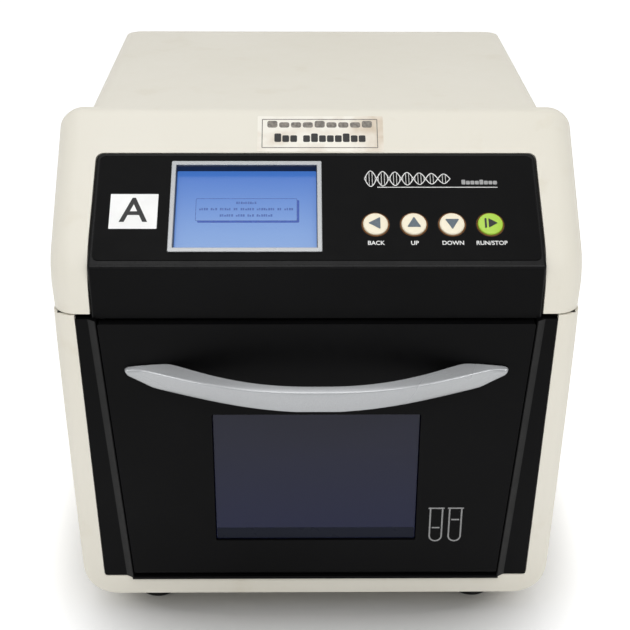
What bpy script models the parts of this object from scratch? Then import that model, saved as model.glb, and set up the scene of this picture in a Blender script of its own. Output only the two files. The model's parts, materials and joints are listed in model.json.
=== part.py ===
"""Benchtop sixteen-sample nucleic-acid extractor: cream two-piece housing, sloping black console,
drop-down black door with a silver bow handle, and the magnetic-particle mechanism inside.

Metres, +Z up, front towards -Y. The origin is on the bench, under the middle of the bounding box.
"""

import math

import bmesh
import bpy
from mathutils import Matrix, Vector

# ---- driving dimensions -------------------------------------------------------------------------
WIDTH = 0.3256
DEPTH = 0.4186
HEIGHT = 0.3267
HANDLE_REACH = 0.0385          # how far the handle stands in front of the posts
FACE_Y = -DEPTH / 2 + HANDLE_REACH   # front face of the lower housing's posts
BODY_DEPTH = DEPTH - HANDLE_REACH    # posts to the back of the housing

WALL = 0.003
GAP = 0.0003                   # clearance between pieces that rest on each other
SEAM_Z = 0.2275                # where the upper cover meets the lower housing
FLOOR_Z = 0.014                # underside of the lower housing
SILL_Z = 0.0286                # top of the cream sill under the door
TUB_TAPER = 0.0275             # how much each side draws in per metre of height
TUB_FRONT = 0.004              # thickness of the posts and sill
TUB_CORNER = 0.023
PLAN_CORNER = 0.012
POST_TOP = 0.1487              # half-width between the posts, at the seam and at the sill
POST_BOTTOM = 0.1435
RAIL_HALF = 0.1242             # fixed rail under the door
RAIL_LIP_Z = 0.0273
RAIL_STEP = 0.0002             # the rail stands this much higher behind its lip
FOOT_R = (0.0112, 0.0125)      # at the bench and at the housing
FOOT_X = 0.110
FOOT_DEPTHS = (0.027, 0.345)

SLOPE = math.radians(34.7)     # the console and forehead lean back this far from level
RIDGE = Vector((0, FACE_Y - 0.0006, 0.2598))
CONSOLE_LENGTH = 0.0837        # ridge to the console's upper edge, up the slope
CONSOLE_HALF = 0.1388
CONSOLE_FOOT_Z = 0.2244
CONSOLE_SHELL = 0.0025
COLLAR_DEPTH = 0.106           # back of the full-width collar
COLLAR_EDGE = 0.016
COLLAR_FLARE = 0.0050          # how much each shoulder spreads beyond the seam's half-width
CHEEK_NOSE = 0.040             # radius between the cheeks' slope and their front
HOOD_HALF = 0.1490             # the hood behind the collar is narrower at the top
HOOD_SHOULDER = 0.012
HOOD_TAIL = 0.094              # radius of the hood's back

DOOR_TOP_Z = 0.2222
DOOR_BOTTOM_Z = 0.0297
DOOR_HALF_TOP = 0.1346
DOOR_HALF_BOTTOM = 0.1224
DOOR_PROUD = 0.003             # the door stands this far in front of the posts
DOOR_PLATE = 0.005
DOOR_FLANGE_DEPTH = 0.0105
HINGE_DEPTH = 0.003            # hinge axis behind the posts' face
HINGE_Z = DOOR_BOTTOM_Z + HINGE_DEPTH + DOOR_PROUD   # the rounded bottom edge turns about it
HINGE_PIN_R = 0.002
HINGE_KNUCKLE_R = 0.0045
HINGE_KNUCKLES = ((0.0980, 0.1032), (0.1128, 0.1180))
HINGE_BRACKET_X = (0.104, 0.112)
HINGE_POCKET_X = (0.1035, 0.1125)
HINGE_PIN_X = (0.0983, 0.1177)
WINDOW_HALF = 0.0666
WINDOW_Z = (0.0600, 0.1578)
LINER_HOLE = (0.0014, 0.0022)  # the liner's opening is larger than the window: sides, ends
HANDLE_HALF = 0.1195
HANDLE_Z = (0.1804, 0.1957)
HANDLE_INSIDE = (0.0324, 0.092)   # reach and half-length of the hollow behind the bow
HANDLE_EDGE = 0.0012
HANDLE_CROWN = 0.0010
STRIP_LIP = (0.0006, 0.0052)   # the lip along the door: width of its crest and of its foot

BUTTON_R = 0.0073
BUTTON_HOLE_R = 0.0086
BUTTON_X = (0.0359, 0.0594, 0.0828, 0.1063)
BUTTON_UP = 0.0301             # up the slope from the ridge
SCREEN_X = (-0.0877, 0.0002)   # opening of the display's frame
SCREEN_UP = (0.0131, 0.0738)
SCREEN_SUNK = 0.0056           # glass below the console's surface
GASKET = 0.0012
BEZEL_X = (-0.0907, 0.0032)
BEZEL_UP = (0.0101, 0.0768)

DECK_Z = 0.262                 # underside of the deck that carries the lift motors
SIDE_PLATE_X = 0.136
SCREW_R = 0.004
LIFT_DEPTH = 0.160             # lift screws and guide rods, behind the face
LIFT_SCREW_X = 0.026
GUIDE_X = 0.062
GUIDE_R = 0.005
ROD_DEPTH = 0.112              # the row of magnet rods, behind the face
ROD_PITCH = 0.0135
ROD_FIRST = 0.009
ROD_R = 0.0032
RODS_PER_SIDE = 8
MAGNET_PLATE_Z = (0.240, 0.248)
PLUNGER_PLATE_Z = (0.170, 0.178)
BEAM_Z = (0.104, 0.112)
BASE_HALF = 0.1395
BASE_Z = (0.018, 0.020)
BASE_TOP = BASE_Z[1] + GAP
SHEET = 0.003                  # side plates and deck
SIDE_PLATE_DEPTH = (0.030, 0.248)
CHAMBER_BACK_DEPTH = (0.2490, 0.2505)
DECK_FRONT = 0.094
BEAM_DEPTH = (0.148, 0.172)
PLATE_BAR = (0.122, 0.104, 0.120)      # half-width, front and back of a lift plate's bar
PLATE_TONGUE = (0.075, 0.176)          # half-width and back of its tongue
NUT_R = 0.009
SCREW_PASS_R = 0.0065
ROD_BORE_R = 0.0042
ROD_FOOT_Z = 0.165
LAMP_R, LAMP_CAP_R, LAMP_CAP = 0.008, 0.010, 0.016
LAMP_DEPTH, LAMP_Z = 0.070, 0.238

RAIL_X = (0.080, 0.092)
RAIL_DEPTH = (0.034, 0.290)
RAIL_TOP = 0.030
CARRIAGE_DEPTH = (0.095, 0.245)
PLATFORM_DEPTH = (0.100, 0.235)
PLATFORM_Z = 0.066
CARRIAGE_Z = (0.058, 0.064)
CARRIAGE_HALF = 0.098
LEG_INSET = 0.012
DRIVE_SCREW_Z = 0.0413
DRIVE_SCREW_FRONT = 0.040
DRIVE_MOTOR_FRONT = 0.3007
DRIVE_NUT_X, DRIVE_NUT_DEPTH = 0.012, (0.170, 0.192)
PLATFORM_HALF = 0.118
TRAY_TALL = 0.022
TRAY_WALL = 0.003
ELUTION_DEPTH, ELUTION_TALL = 0.020, 0.028
MOTOR_SIDE = 0.042
MOTOR_LENGTH = 0.038

PANEL_DEPTH = BODY_DEPTH - 0.0091    # outer face of the recessed rear panel is 2 mm behind this
PANEL_SHEET = 0.002
FAN_X, FAN_Z = -0.100, 0.170
FAN_SIDE = 0.040
FAN_DEPTH = 0.020
FAN_BORE_R = 0.0185
FAN_HUB_R = 0.0092
FAN_BLADES = 7
FAN_STRUTS = 3
GUARD_RINGS = (0.0190, 0.0135, 0.0082)
GUARD_WIRE = 0.0013
SLOT_X = (0.020, 0.120)
SLOT_Z, SLOT_PITCH, SLOT_TALL, SLOTS = 0.112, 0.011, 0.0035, 8
PORTS = ((-0.010, 0.021), (-0.050, -0.036))
PORT_Z = (0.056, 0.068)
INLET_X = (0.070, 0.130)
INLET_Z = (0.050, 0.078)
INLET_FLANGE = 0.0018          # the inlet's flange is wider than its body by this
SOCKET_X = (0.0735, 0.0975)
SOCKET_MARGIN = 0.0055         # below and above the socket and the fuse drawer
SWITCH_X = (0.1125, 0.1255)
SWITCH_MARGIN = 0.0035
SWITCH_AXIS = (PANEL_DEPTH + PANEL_SHEET - 0.0005, (INLET_Z[0] + INLET_Z[1]) / 2)
SWITCH_HALF = 0.0092
SWITCH_TILT = 8                # degrees
FUSE_X = (0.1000, 0.1090)
SUPPLY = (0.022, 0.127), (0.256, 0.352), (0.082, 0.126)
BOARD = (-0.134, -0.010), (0.268, 0.2696), (0.070, 0.200)
CHIPS = (-0.110, 0.100), (-0.060, 0.130), (-0.100, 0.165), (-0.040, 0.180), (-0.040, 0.090)
CHIP_HALF, CHIP_DEPTH = (0.011, 0.009), (0.262, 0.2685)
ROUND = 12                     # sides on a small round piece

AXIS_TURN = {
    "x": Matrix.Rotation(math.pi / 2, 4, "Y"),
    "y": Matrix.Rotation(-math.pi / 2, 4, "X"),
    "z": Matrix.Identity(4),
}

# Columns: across, up the slope, out of the slope.
CONSOLE_FRAME = Matrix.Translation(RIDGE) @ Matrix.Rotation(SLOPE, 4, "X")

COLOURS = {                    # colour, roughness, metallic
    "cream": ((0.80, 0.76, 0.66), 0.45, 0.0),
    "black": ((0.012, 0.012, 0.013), 0.35, 0.0),
    "silver": ((0.62, 0.63, 0.64), 0.30, 0.8),
    "tinted": ((0.03, 0.04, 0.08), 0.10, 0.0),
    "screen": ((0.10, 0.28, 0.78), 0.20, 0.0),
    "button": ((0.85, 0.80, 0.68), 0.40, 0.0),
    "green": ((0.45, 0.72, 0.06), 0.40, 0.0),
    "rubber": ((0.02, 0.02, 0.02), 0.80, 0.0),
    "steel": ((0.45, 0.46, 0.48), 0.35, 1.0),
    "alloy": ((0.60, 0.61, 0.63), 0.40, 1.0),
    "board": ((0.02, 0.16, 0.07), 0.50, 0.0),
    "lamp": ((0.75, 0.80, 0.90), 0.15, 0.0),
}


# ---- modelling helpers --------------------------------------------------------------------------
def behind(depth):
    """The Y of a place this far behind the posts' front face."""
    return FACE_Y + depth


def material(name):
    found = bpy.data.materials.get(name)
    if found:
        return found
    made = bpy.data.materials.new(name)
    made.use_nodes = True
    colour, roughness, metallic = COLOURS[name]
    shader = made.node_tree.nodes["Principled BSDF"]
    shader.inputs["Base Color"].default_value = (*colour, 1)
    shader.inputs["Roughness"].default_value = roughness
    shader.inputs["Metallic"].default_value = metallic
    return made


def new_object(name, bm, matter="steel"):
    bmesh.ops.recalc_face_normals(bm, faces=bm.faces)
    mesh = bpy.data.meshes.new(name)
    bm.to_mesh(mesh)
    bm.free()
    made = bpy.data.objects.new(name, mesh)
    bpy.context.scene.collection.objects.link(made)
    mesh.materials.append(material(matter))
    return made


def loft(name, sections, matter="steel"):
    """A closed solid through closed loops that have the same number of points."""
    bm = bmesh.new()
    rings = [[bm.verts.new(point) for point in section] for section in sections]
    count = len(rings[0])
    for low, high in zip(rings, rings[1:]):
        for i in range(count):
            j = (i + 1) % count
            bm.faces.new((low[i], low[j], high[j], high[i]))
    bm.faces.new(rings[0][::-1])
    bm.faces.new(rings[-1])
    return new_object(name, bm, matter)


def prism_x(name, outline, x0, x1, matter="steel"):
    """(depth behind the face, z) outline, extruded across the instrument."""
    return loft(name, [[(x, behind(d), z) for d, z in outline] for x in (x0, x1)], matter)


def prism_y(name, outline, depth0, depth1, matter="steel"):
    """(x, z) outline, extruded front to back."""
    return loft(name, [[(x, behind(d), z) for x, z in outline] for d in (depth0, depth1)], matter)


def prism_z(name, outline, z0, z1, matter="steel"):
    """(x, depth behind the face) outline, extruded upwards."""
    return loft(name, [[(x, behind(d), z) for x, d in outline] for z in (z0, z1)], matter)


def rectangle(a0, a1, b0, b1):
    return [(a0, b0), (a1, b0), (a1, b1), (a0, b1)]


def block(name, x, depth, z, matter="steel"):
    return prism_z(name, rectangle(*x, *depth), *z, matter)


def arc(centre, radius, start, end, steps):
    """Points on a circle, angles in degrees."""
    angles = [math.radians(start + (end - start) * i / steps) for i in range(steps + 1)]
    return [(centre[0] + radius * math.cos(a), centre[1] + radius * math.sin(a)) for a in angles]


def rod(name, centre, axis, radius, length, matter="steel", sides=ROUND, end_radius=None):
    """A round bar that starts at centre, in world coordinates, and runs along +axis."""
    bm = bmesh.new()
    bmesh.ops.create_cone(
        bm, cap_ends=True, segments=sides, radius1=radius,
        radius2=radius if end_radius is None else end_radius, depth=length,
        matrix=AXIS_TURN[axis] @ Matrix.Translation((0, 0, length / 2)),
    )
    bmesh.ops.translate(bm, verts=bm.verts, vec=centre)
    made = new_object(name, bm, matter)
    made.data.shade_smooth()
    made.data.set_sharp_from_angle(angle=math.radians(40))
    return made


def boolean(target, tools, operation):
    """Cuts, joins or crosses target with each tool, and removes the tools."""
    for tool in tools:
        modifier = target.modifiers.new(operation, "BOOLEAN")
        modifier.operation = operation
        modifier.solver = "EXACT"
        modifier.object = tool
        bpy.context.view_layer.update()
        graph = bpy.context.evaluated_depsgraph_get()
        old = target.data
        target.data = bpy.data.meshes.new_from_object(target.evaluated_get(graph))
        target.data.name = target.name
        target.modifiers.clear()
        bpy.data.meshes.remove(old)
        bpy.data.objects.remove(tool)
    return target


def cut(target, *tools):
    return boolean(target, tools, "DIFFERENCE")


def join(target, *tools):
    return boolean(target, tools, "UNION")


def set_origin(obj, point):
    """Moves the object's origin without moving its shape."""
    obj.data.transform(Matrix.Translation(-Vector(point)))
    obj.location = point


def on_console(obj, x=0.0, up=0.0):
    """Puts a piece modelled as (across, up the slope, out of the slope) on the console."""
    obj.matrix_world = CONSOLE_FRAME @ Matrix.Translation((x, up, 0))
    return obj


def slab(name, x, up, out, matter="steel"):
    """A block in the console's own directions."""
    outline = rectangle(*x, *up)
    return loft(name, [[(a, b, height) for a, b in outline] for height in out], matter)


def slope_point(up, out=0.0):
    """(depth, z) of a point on the console's slope."""
    point = CONSOLE_FRAME @ Vector((0, up, out))
    return point.y - FACE_Y, point.z


def mirrored(side, pair):
    """An x range for the left (-1) or right (+1) side."""
    return tuple(sorted(side * value for value in pair))


# ---- lower housing ------------------------------------------------------------------------------
def tub_half(z):
    return WIDTH / 2 - (SEAM_Z - z) * TUB_TAPER


def tub_outline(inset, top):
    """(x, z) front view of the lower housing: drawn-in sides and round bottom corners."""
    corner = TUB_CORNER - inset
    centre_z = FLOOR_Z + TUB_CORNER
    centre_x = tub_half(centre_z) - TUB_CORNER
    right = arc((centre_x, centre_z), corner, -90, 0, 5)
    right.append((tub_half(top) - inset, top))
    return right + [(-x, z) for x, z in reversed(right)]


def post_half(z):
    share = (z - SILL_Z) / (SEAM_Z - SILL_Z)
    return POST_BOTTOM + (POST_TOP - POST_BOTTOM) * share


def plan_outline(half, front, back, radius):
    """(x, depth) rounded rectangle with round vertical corners."""
    right = arc((half - radius, front + radius), radius, -90, 0, 4)
    right += arc((half - radius, back - radius), radius, 0, 90, 4)
    return right + [(-x, d) for x, d in reversed(right)]


def lower_housing():
    top = SEAM_Z - 2 * GAP
    tub = prism_y("lower_housing", tub_outline(0, top), 0, BODY_DEPTH, "cream")
    plan = prism_z("plan", plan_outline(WIDTH / 2, 0, BODY_DEPTH, PLAN_CORNER), 0, HEIGHT)
    boolean(tub, [plan], "INTERSECT")
    hollow = prism_y("hollow", tub_outline(WALL, HEIGHT), TUB_FRONT, BODY_DEPTH + 0.01)
    doorway = prism_y("doorway", [
        (-POST_BOTTOM, SILL_Z), (POST_BOTTOM, SILL_Z),
        (post_half(HEIGHT), HEIGHT), (-post_half(HEIGHT), HEIGHT),
    ], -0.01, 0.02)
    half, rail_z = RAIL_HALF + GAP, RAIL_LIP_Z + RAIL_STEP - GAP
    rail_seat = block("rail_seat", (-half, half), (-0.01, 0.02), (rail_z, SILL_Z + 0.001))
    return cut(tub, hollow, doorway, rail_seat)


def feet():
    for depth, end in zip(FOOT_DEPTHS, ("front", "rear")):
        for side, hand in ((-1, "left"), (1, "right")):
            centre = (side * FOOT_X, behind(depth), 0)
            rod(f"foot_{end}_{hand}", centre, "z", FOOT_R[0], FLOOR_Z - GAP, "rubber", 16, FOOT_R[1])


def rear_panel():
    """Recessed steel sheet with the fan hole, the inlet and port cut-outs and cooling slots."""
    back = PANEL_DEPTH + PANEL_SHEET
    outline = tub_outline(WALL + 0.0005, SEAM_Z - 0.004)
    sheet = prism_y("rear_panel", outline, PANEL_DEPTH, back, "alloy")
    through = (PANEL_DEPTH - 0.01, back + 0.01)
    cut(sheet, rod("bore", (FAN_X, behind(through[0]), FAN_Z), "y", FAN_BORE_R, 0.03, sides=24))
    lip = INLET_FLANGE - GAP
    inlet = rectangle(INLET_X[0] + lip, INLET_X[1] - lip, INLET_Z[0] + lip, INLET_Z[1] - lip)
    cut(sheet, prism_y("hole", inlet, *through))
    for x0, x1 in PORTS:
        port = rectangle(x0 - GAP, x1 + GAP, PORT_Z[0] - GAP, PORT_Z[1] + GAP)
        cut(sheet, prism_y("hole", port, *through))
    for i in range(SLOTS):
        z = SLOT_Z + SLOT_PITCH * i
        cut(sheet, prism_y("slot", rectangle(*SLOT_X, z, z + SLOT_TALL), *through))
    return sheet


# ---- upper cover --------------------------------------------------------------------------------
def slope_depth(z, inset=0.0):
    """Depth of the slope's surface at this height, sunk by inset."""
    ridge_depth = RIDGE.y - FACE_Y
    return ridge_depth + (z - RIDGE.z) / math.tan(SLOPE) + inset / math.sin(SLOPE)


def collar_profile(inset, bottom):
    """(depth, z) side view of the collar: front, round nose, slope, short flat top and back."""
    radius = CHEEK_NOSE
    # The nose's circle touches the front plane and the slope, so its centre is one radius from both.
    centre_z = RIDGE.z + math.tan(SLOPE) * (radius - radius / math.sin(SLOPE) - RIDGE.y + FACE_Y)
    nose = arc((radius, centre_z), radius - inset, 180, 90 + math.degrees(SLOPE), 5)
    top = HEIGHT - inset
    back = COLLAR_DEPTH - min(inset, WALL)
    crease = slope_depth(top, inset)
    outline = [(inset, bottom)] + nose
    outline += [(crease, top), (back, top), (back + 0.006, bottom)]
    return outline


def flare(z):
    """How much wider the collar is at this height than at the seam, as a factor."""
    return 1 + (z - SEAM_Z) / (HEIGHT - SEAM_Z) * COLLAR_FLARE / (WIDTH / 2)


def collar(name, inset, bottom):
    """The full-width front of the cover, rounded where its profile meets the two sides."""
    steps = 4
    edge = COLLAR_EDGE - inset
    flat = WIDTH / 2 - COLLAR_EDGE
    sections = []
    for i in range(steps + 1):
        turn = math.pi / 2 * i / steps
        sections.append((flat + edge * math.cos(turn), inset + edge * (1 - math.sin(turn))))
    stations = [(-x, sunk) for x, sunk in sections] + [(x, sunk) for x, sunk in reversed(sections)]
    return loft(name, [
        [(x * flare(z), behind(d), z) for d, z in collar_profile(sunk, bottom)] for x, sunk in stations
    ])


def hood(name, inset, bottom):
    """The part behind the collar: sides that lean in, round shoulders and a quarter-round back."""
    levels = []
    side_top = HEIGHT - HOOD_SHOULDER
    tail_z = HEIGHT - HOOD_TAIL
    for i in range(9):
        turn = math.radians(90) * i / 8
        levels.append(tail_z + (HOOD_TAIL - inset) * math.sin(turn))
    levels = [bottom] + levels
    lean = (WIDTH / 2 - 0.0005 - HOOD_HALF) / (side_top - SEAM_Z)
    sections = []
    for z in levels:
        half = HOOD_HALF + (side_top - min(z, side_top)) * lean - inset
        over = z - side_top
        if over > 0:
            shoulder = HOOD_SHOULDER - inset
            over = min(over, shoulder)
            half -= shoulder - math.sqrt(max(shoulder**2 - over**2, 0))
        rise = min(max(z - tail_z, 0) / (HOOD_TAIL - inset), 1)
        back = BODY_DEPTH - HOOD_TAIL + (HOOD_TAIL - inset) * math.sqrt(1 - rise**2)
        front = max(slope_depth(z, inset) + 0.004, 0.030)
        sections.append([(x, behind(d), z) for x, d in plan_outline(half, front, back, 0.010)])
    return loft(name, sections)


def upper_cover():
    bottom = SEAM_Z + GAP
    shell = join(collar("upper_cover", 0, bottom), hood("hood", 0, bottom))
    below = bottom - 0.02
    hollow = join(collar("hollow", WALL, below), hood("hood_inside", WALL, below))
    cut(shell, hollow)
    edge = CONSOLE_LENGTH + 0.0002
    mouth = [
        (-0.03, 0.20), (0.035, 0.20), slope_point(edge, -0.02), slope_point(edge, 0.02), (-0.03, 0.33),
    ]
    cut(shell, prism_x("mouth", mouth, -CONSOLE_HALF - 0.0002, CONSOLE_HALF + 0.0002))
    shell.data.materials.clear()
    shell.data.materials.append(material("cream"))
    return shell


# ---- console ------------------------------------------------------------------------------------
def console_outline(inset, back, top_inset, foot_inset):
    """(depth, z) section of the console: slope, small round nose and front apron."""
    nose = 0.004
    front = RIDGE.y - FACE_Y + inset
    turn = (math.pi / 2 - SLOPE) / 2
    corner = Vector((front, RIDGE.z + math.tan(SLOPE) * (inset - inset / math.sin(SLOPE))))
    setback = nose * math.tan(turn)
    centre = (corner.x + nose, corner.y - setback)
    round_nose = arc(centre, nose, 180, 90 + math.degrees(SLOPE), 4)
    foot_z = CONSOLE_FOOT_Z + foot_inset
    top = CONSOLE_LENGTH - 0.0002 - top_inset
    outline = [(front + 0.0015, foot_z)] + round_nose + [slope_point(top, -inset)]
    outline += [slope_point(top, -back), (back, RIDGE.z - 0.003), (back, foot_z)]
    return outline


def console_panel():
    half = CONSOLE_HALF - 0.0003
    lip = CONSOLE_SHELL
    panel = prism_x("console_panel", console_outline(0, 0.010, 0, 0), -half, half, "black")
    cut(panel, prism_x("hollow", console_outline(lip, 0.025, lip, lip), -half + lip, half - lip))
    cut(panel, on_console(slab("window", *screen_rectangle(GASKET + GAP), (-0.02, 0.02))))
    for x in BUTTON_X:
        hole = rod("hole", (0, 0, -0.01), "z", BUTTON_HOLE_R, 0.02, sides=24)
        cut(panel, on_console(hole, x, BUTTON_UP))
    return panel


def screen_rectangle(grow):
    """The display's opening, made larger on each side: across and up the slope."""
    return (SCREEN_X[0] - grow, SCREEN_X[1] + grow), (SCREEN_UP[0] - grow, SCREEN_UP[1] + grow)


def display():
    """Silver frame on the console, gasket in its opening, glass at the gasket's foot, module behind."""
    opening = screen_rectangle(0)
    bezel = slab("lcd_bezel", BEZEL_X, BEZEL_UP, (GAP, 0.0014), "silver")
    cut(bezel, slab("hole", *opening, (-0.01, 0.01)))
    gasket = slab("lcd_gasket", *screen_rectangle(GASKET), (-SCREEN_SUNK + GAP, 0), "black")
    cut(gasket, slab("hole", *opening, (-0.01, 0.01)))
    glass_back = -SCREEN_SUNK - 0.0016
    screen = slab("lcd_screen", *screen_rectangle(GASKET), (glass_back, -SCREEN_SUNK), "screen")
    module = slab("lcd_module", *screen_rectangle(0.004), (-0.0160, glass_back - GAP), "steel")
    for piece in (bezel, gasket, screen, module):
        on_console(piece)


def buttons():
    for name, x in zip(("back", "up", "down", "run_stop"), BUTTON_X):
        bm = bmesh.new()
        # Turned profile, from the stem's foot to the crown of the cap: (radius, height).
        profile = [
            (0, -0.0092), (0.003, -0.0092), (0.003, -0.004), (BUTTON_R, -0.004),
            (BUTTON_R, 0.0007), (BUTTON_R - 0.0012, 0.0016), (0, 0.0021),
        ]
        points = [bm.verts.new((radius, 0, height)) for radius, height in profile]
        edges = [bm.edges.new(pair) for pair in zip(points, points[1:])]
        bmesh.ops.spin(
            bm, geom=points + edges, cent=(0, 0, 0), axis=(0, 0, 1), angle=2 * math.pi,
            steps=20, use_merge=True, use_duplicate=False,
        )
        bmesh.ops.remove_doubles(bm, verts=bm.verts, dist=1e-6)
        cap = new_object(f"button_{name}", bm, "green" if name == "run_stop" else "button")
        cap.data.shade_smooth()
        cap.data.set_sharp_from_angle(angle=math.radians(30))
        on_console(cap, x, BUTTON_UP)
    board = slab("keypad_board", (0.026, 0.116), (0.018, 0.042), (-0.0136, -0.012), "board")
    for x in BUTTON_X:
        switch = (x - 0.003, x + 0.003), (BUTTON_UP - 0.003, BUTTON_UP + 0.003)
        join(board, slab("switch", *switch, (-0.0125, -0.0106)))
    on_console(board)


# ---- door ---------------------------------------------------------------------------------------
def door_half(z):
    share = (z - DOOR_BOTTOM_Z) / (DOOR_TOP_Z - DOOR_BOTTOM_Z)
    return DOOR_HALF_BOTTOM + (DOOR_HALF_TOP - DOOR_HALF_BOTTOM) * share


def door_outline(inset, z0, z1):
    return [
        (-door_half(z0) + inset, z0), (door_half(z0) - inset, z0),
        (door_half(z1) - inset, z1), (-door_half(z1) + inset, z1),
    ]


def hinge_rod(name, x, radius, matter="steel", sides=ROUND):
    return rod(name, (x[0], behind(HINGE_DEPTH), HINGE_Z), "x", radius, x[1] - x[0], matter, sides)


def door_panel():
    plate_back = DOOR_PLATE - DOOR_PROUD
    z0, z1 = DOOR_BOTTOM_Z, DOOR_TOP_Z
    door = prism_y("door_panel", door_outline(0, z0, z1), -DOOR_PROUD, DOOR_FLANGE_DEPTH, "black")
    rim = 0.003
    flange_z = 0.047
    cut(door, prism_y("hollow", door_outline(rim, flange_z, z1 - rim), plate_back, 0.02))
    cut(door, block("below", (-0.2, 0.2), (plate_back, 0.02), (0.02, flange_z + 0.001)))
    cut(door, prism_y("window", rectangle(-WINDOW_HALF, WINDOW_HALF, *WINDOW_Z), -0.01, 0.02))
    for side in (-1, 1):
        for x in HINGE_KNUCKLES:
            join(door, hinge_rod("knuckle", mirrored(side, x), HINGE_KNUCKLE_R, sides=16))
    # The bottom edge is round about the hinge axis, so it keeps its gap to the rail as it turns.
    barrel = HINGE_DEPTH + DOOR_PROUD
    corner = [(-0.01, 0.02), (HINGE_DEPTH, 0.02)]
    corner += arc((HINGE_DEPTH, HINGE_Z), barrel, 270, 180, 6)
    corner += [(-0.01, HINGE_Z)]
    cut(door, prism_x("corner", corner, -0.2, 0.2))
    for side in (-1, 1):
        pocket_r = HINGE_KNUCKLE_R + 0.0005
        cut(door, hinge_rod("pocket", mirrored(side, HINGE_POCKET_X), pocket_r, sides=24))
        cut(door, hinge_rod("bore", mirrored(side, (0.097, 0.119)), HINGE_PIN_R + GAP))
    set_origin(door, (0, behind(HINGE_DEPTH), HINGE_Z))
    return door


def door_fittings():
    front = DOOR_FLANGE_DEPTH + GAP
    outline = door_outline(0.001, 0.050, DOOR_TOP_Z - 0.001)
    liner = prism_y("door_liner", outline, front, front + 0.002, "black")
    half, ends = WINDOW_HALF + LINER_HOLE[0], LINER_HOLE[1]
    opening = rectangle(-half, half, WINDOW_Z[0] - ends, WINDOW_Z[1] + ends)
    cut(liner, prism_y("hole", opening, 0, 0.02))
    glass = rectangle(-WINDOW_HALF + GAP, WINDOW_HALF - GAP, WINDOW_Z[0] + GAP, WINDOW_Z[1] - GAP)
    pane = prism_y("door_window", glass, -0.0014, 0.0016, "tinted")
    for piece in (liner, pane):
        set_origin(piece, (0, behind(HINGE_DEPTH), HINGE_Z))
    for side, name in ((-1, "left"), (1, "right")):
        hinge_rod(f"hinge_pin_{name}", mirrored(side, HINGE_PIN_X), HINGE_PIN_R)
        reach = HINGE_KNUCKLE_R - 0.0001
        axis = (HINGE_DEPTH, HINGE_Z)
        # The arm leaves the knuckle behind the door and comes down to a foot on the base plate.
        outline = arc(axis, reach, 90, 352, 10)
        outline += [(0.0093, HINGE_Z), (0.012, HINGE_Z - 0.0025), (0.012, 0.0203), (0.028, 0.0203)]
        outline += [(0.028, 0.0228), (0.016, 0.0228), (0.016, HINGE_Z + reach)]
        bracket = prism_x(f"hinge_bracket_{name}", outline, *mirrored(side, HINGE_BRACKET_X), "steel")
        cut(bracket, hinge_rod("bore", mirrored(side, (0.1, 0.12)), HINGE_PIN_R + GAP))


def bow_reach(x, reach, half, power):
    """How far a bow stands out at x: full at the middle and nothing at its half-length."""
    share = min(abs(x) / half, 1)
    return reach * math.cos(math.pi / 2 * share**power)


def door_handle():
    """A bow with a level top and a flat front, whose ends widen back to the door and taper to the tips."""
    half, (bottom_z, top_z) = HANDLE_HALF, HANDLE_Z
    crown, edge = HANDLE_CROWN, HANDLE_EDGE
    door_face = DOOR_PROUD + GAP
    stations = 24
    sections = []
    for i in range(stations + 1):
        x = half * math.sin(math.pi / 2 * (2 * i / stations - 1))
        share = abs(x) / half
        back = max(bow_reach(x, *HANDLE_INSIDE, 1.7), door_face)
        low = max(bow_reach(x, HANDLE_REACH - crown / 2, half, 0.92), back + 2 * edge)
        high = max(bow_reach(x, HANDLE_REACH - 3 * crown / 2, half, 1.25), back + 2 * edge)
        top = top_z - 0.0045 * share**10
        bottom = bottom_z + 0.0065 * share**10
        outline = [
            (low, bottom + edge), ((low + high) / 2 + crown, (top + bottom) / 2), (high, top - edge),
            (high - edge, top), (back + edge / 2, top), (back, top - edge / 2),
            (back, bottom + edge / 2), (back + edge / 2, bottom), (low - edge, bottom),
        ]
        sections.append([(x, behind(-reach), z) for reach, z in outline])
    handle = loft("door_handle", sections, "silver")
    handle.data.shade_smooth()
    handle.data.set_sharp_from_angle(angle=math.radians(35))
    set_origin(handle, (0, behind(HINGE_DEPTH), HINGE_Z))


def door_surround():
    """Black U round the door: side strips with a raised lip along the door, and a rail under it."""
    bottom, top = SILL_Z + GAP, SEAM_Z - 0.0035
    strips = []
    for side in (-1, 1):
        sections = []
        for z in (bottom, top):
            outer = post_half(z) - GAP
            inner = door_half(z) + 0.0008
            crest, heel = STRIP_LIP
            section = [
                (outer, 0.0005), (inner + heel, 0.0005), (inner + crest, -0.0026),
                (inner, -0.0026), (inner, 0.004), (outer, 0.004),
            ]
            sections.append([(side * x, behind(d), z) for x, d in section])
        strips.append(loft("strip", sections, "black"))
    frame = strips[0]
    frame.name = "door_surround"
    lip, top = RAIL_LIP_Z, DOOR_BOTTOM_Z - 0.0005
    rail = [(-0.0025, lip), (-GAP, lip), (-GAP, lip + RAIL_STEP)]
    rail += [(0.004, lip + RAIL_STEP), (0.004, top), (-0.0025, top)]
    return join(frame, prism_x("rail", rail, -RAIL_HALF, RAIL_HALF), strips[1])


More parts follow.
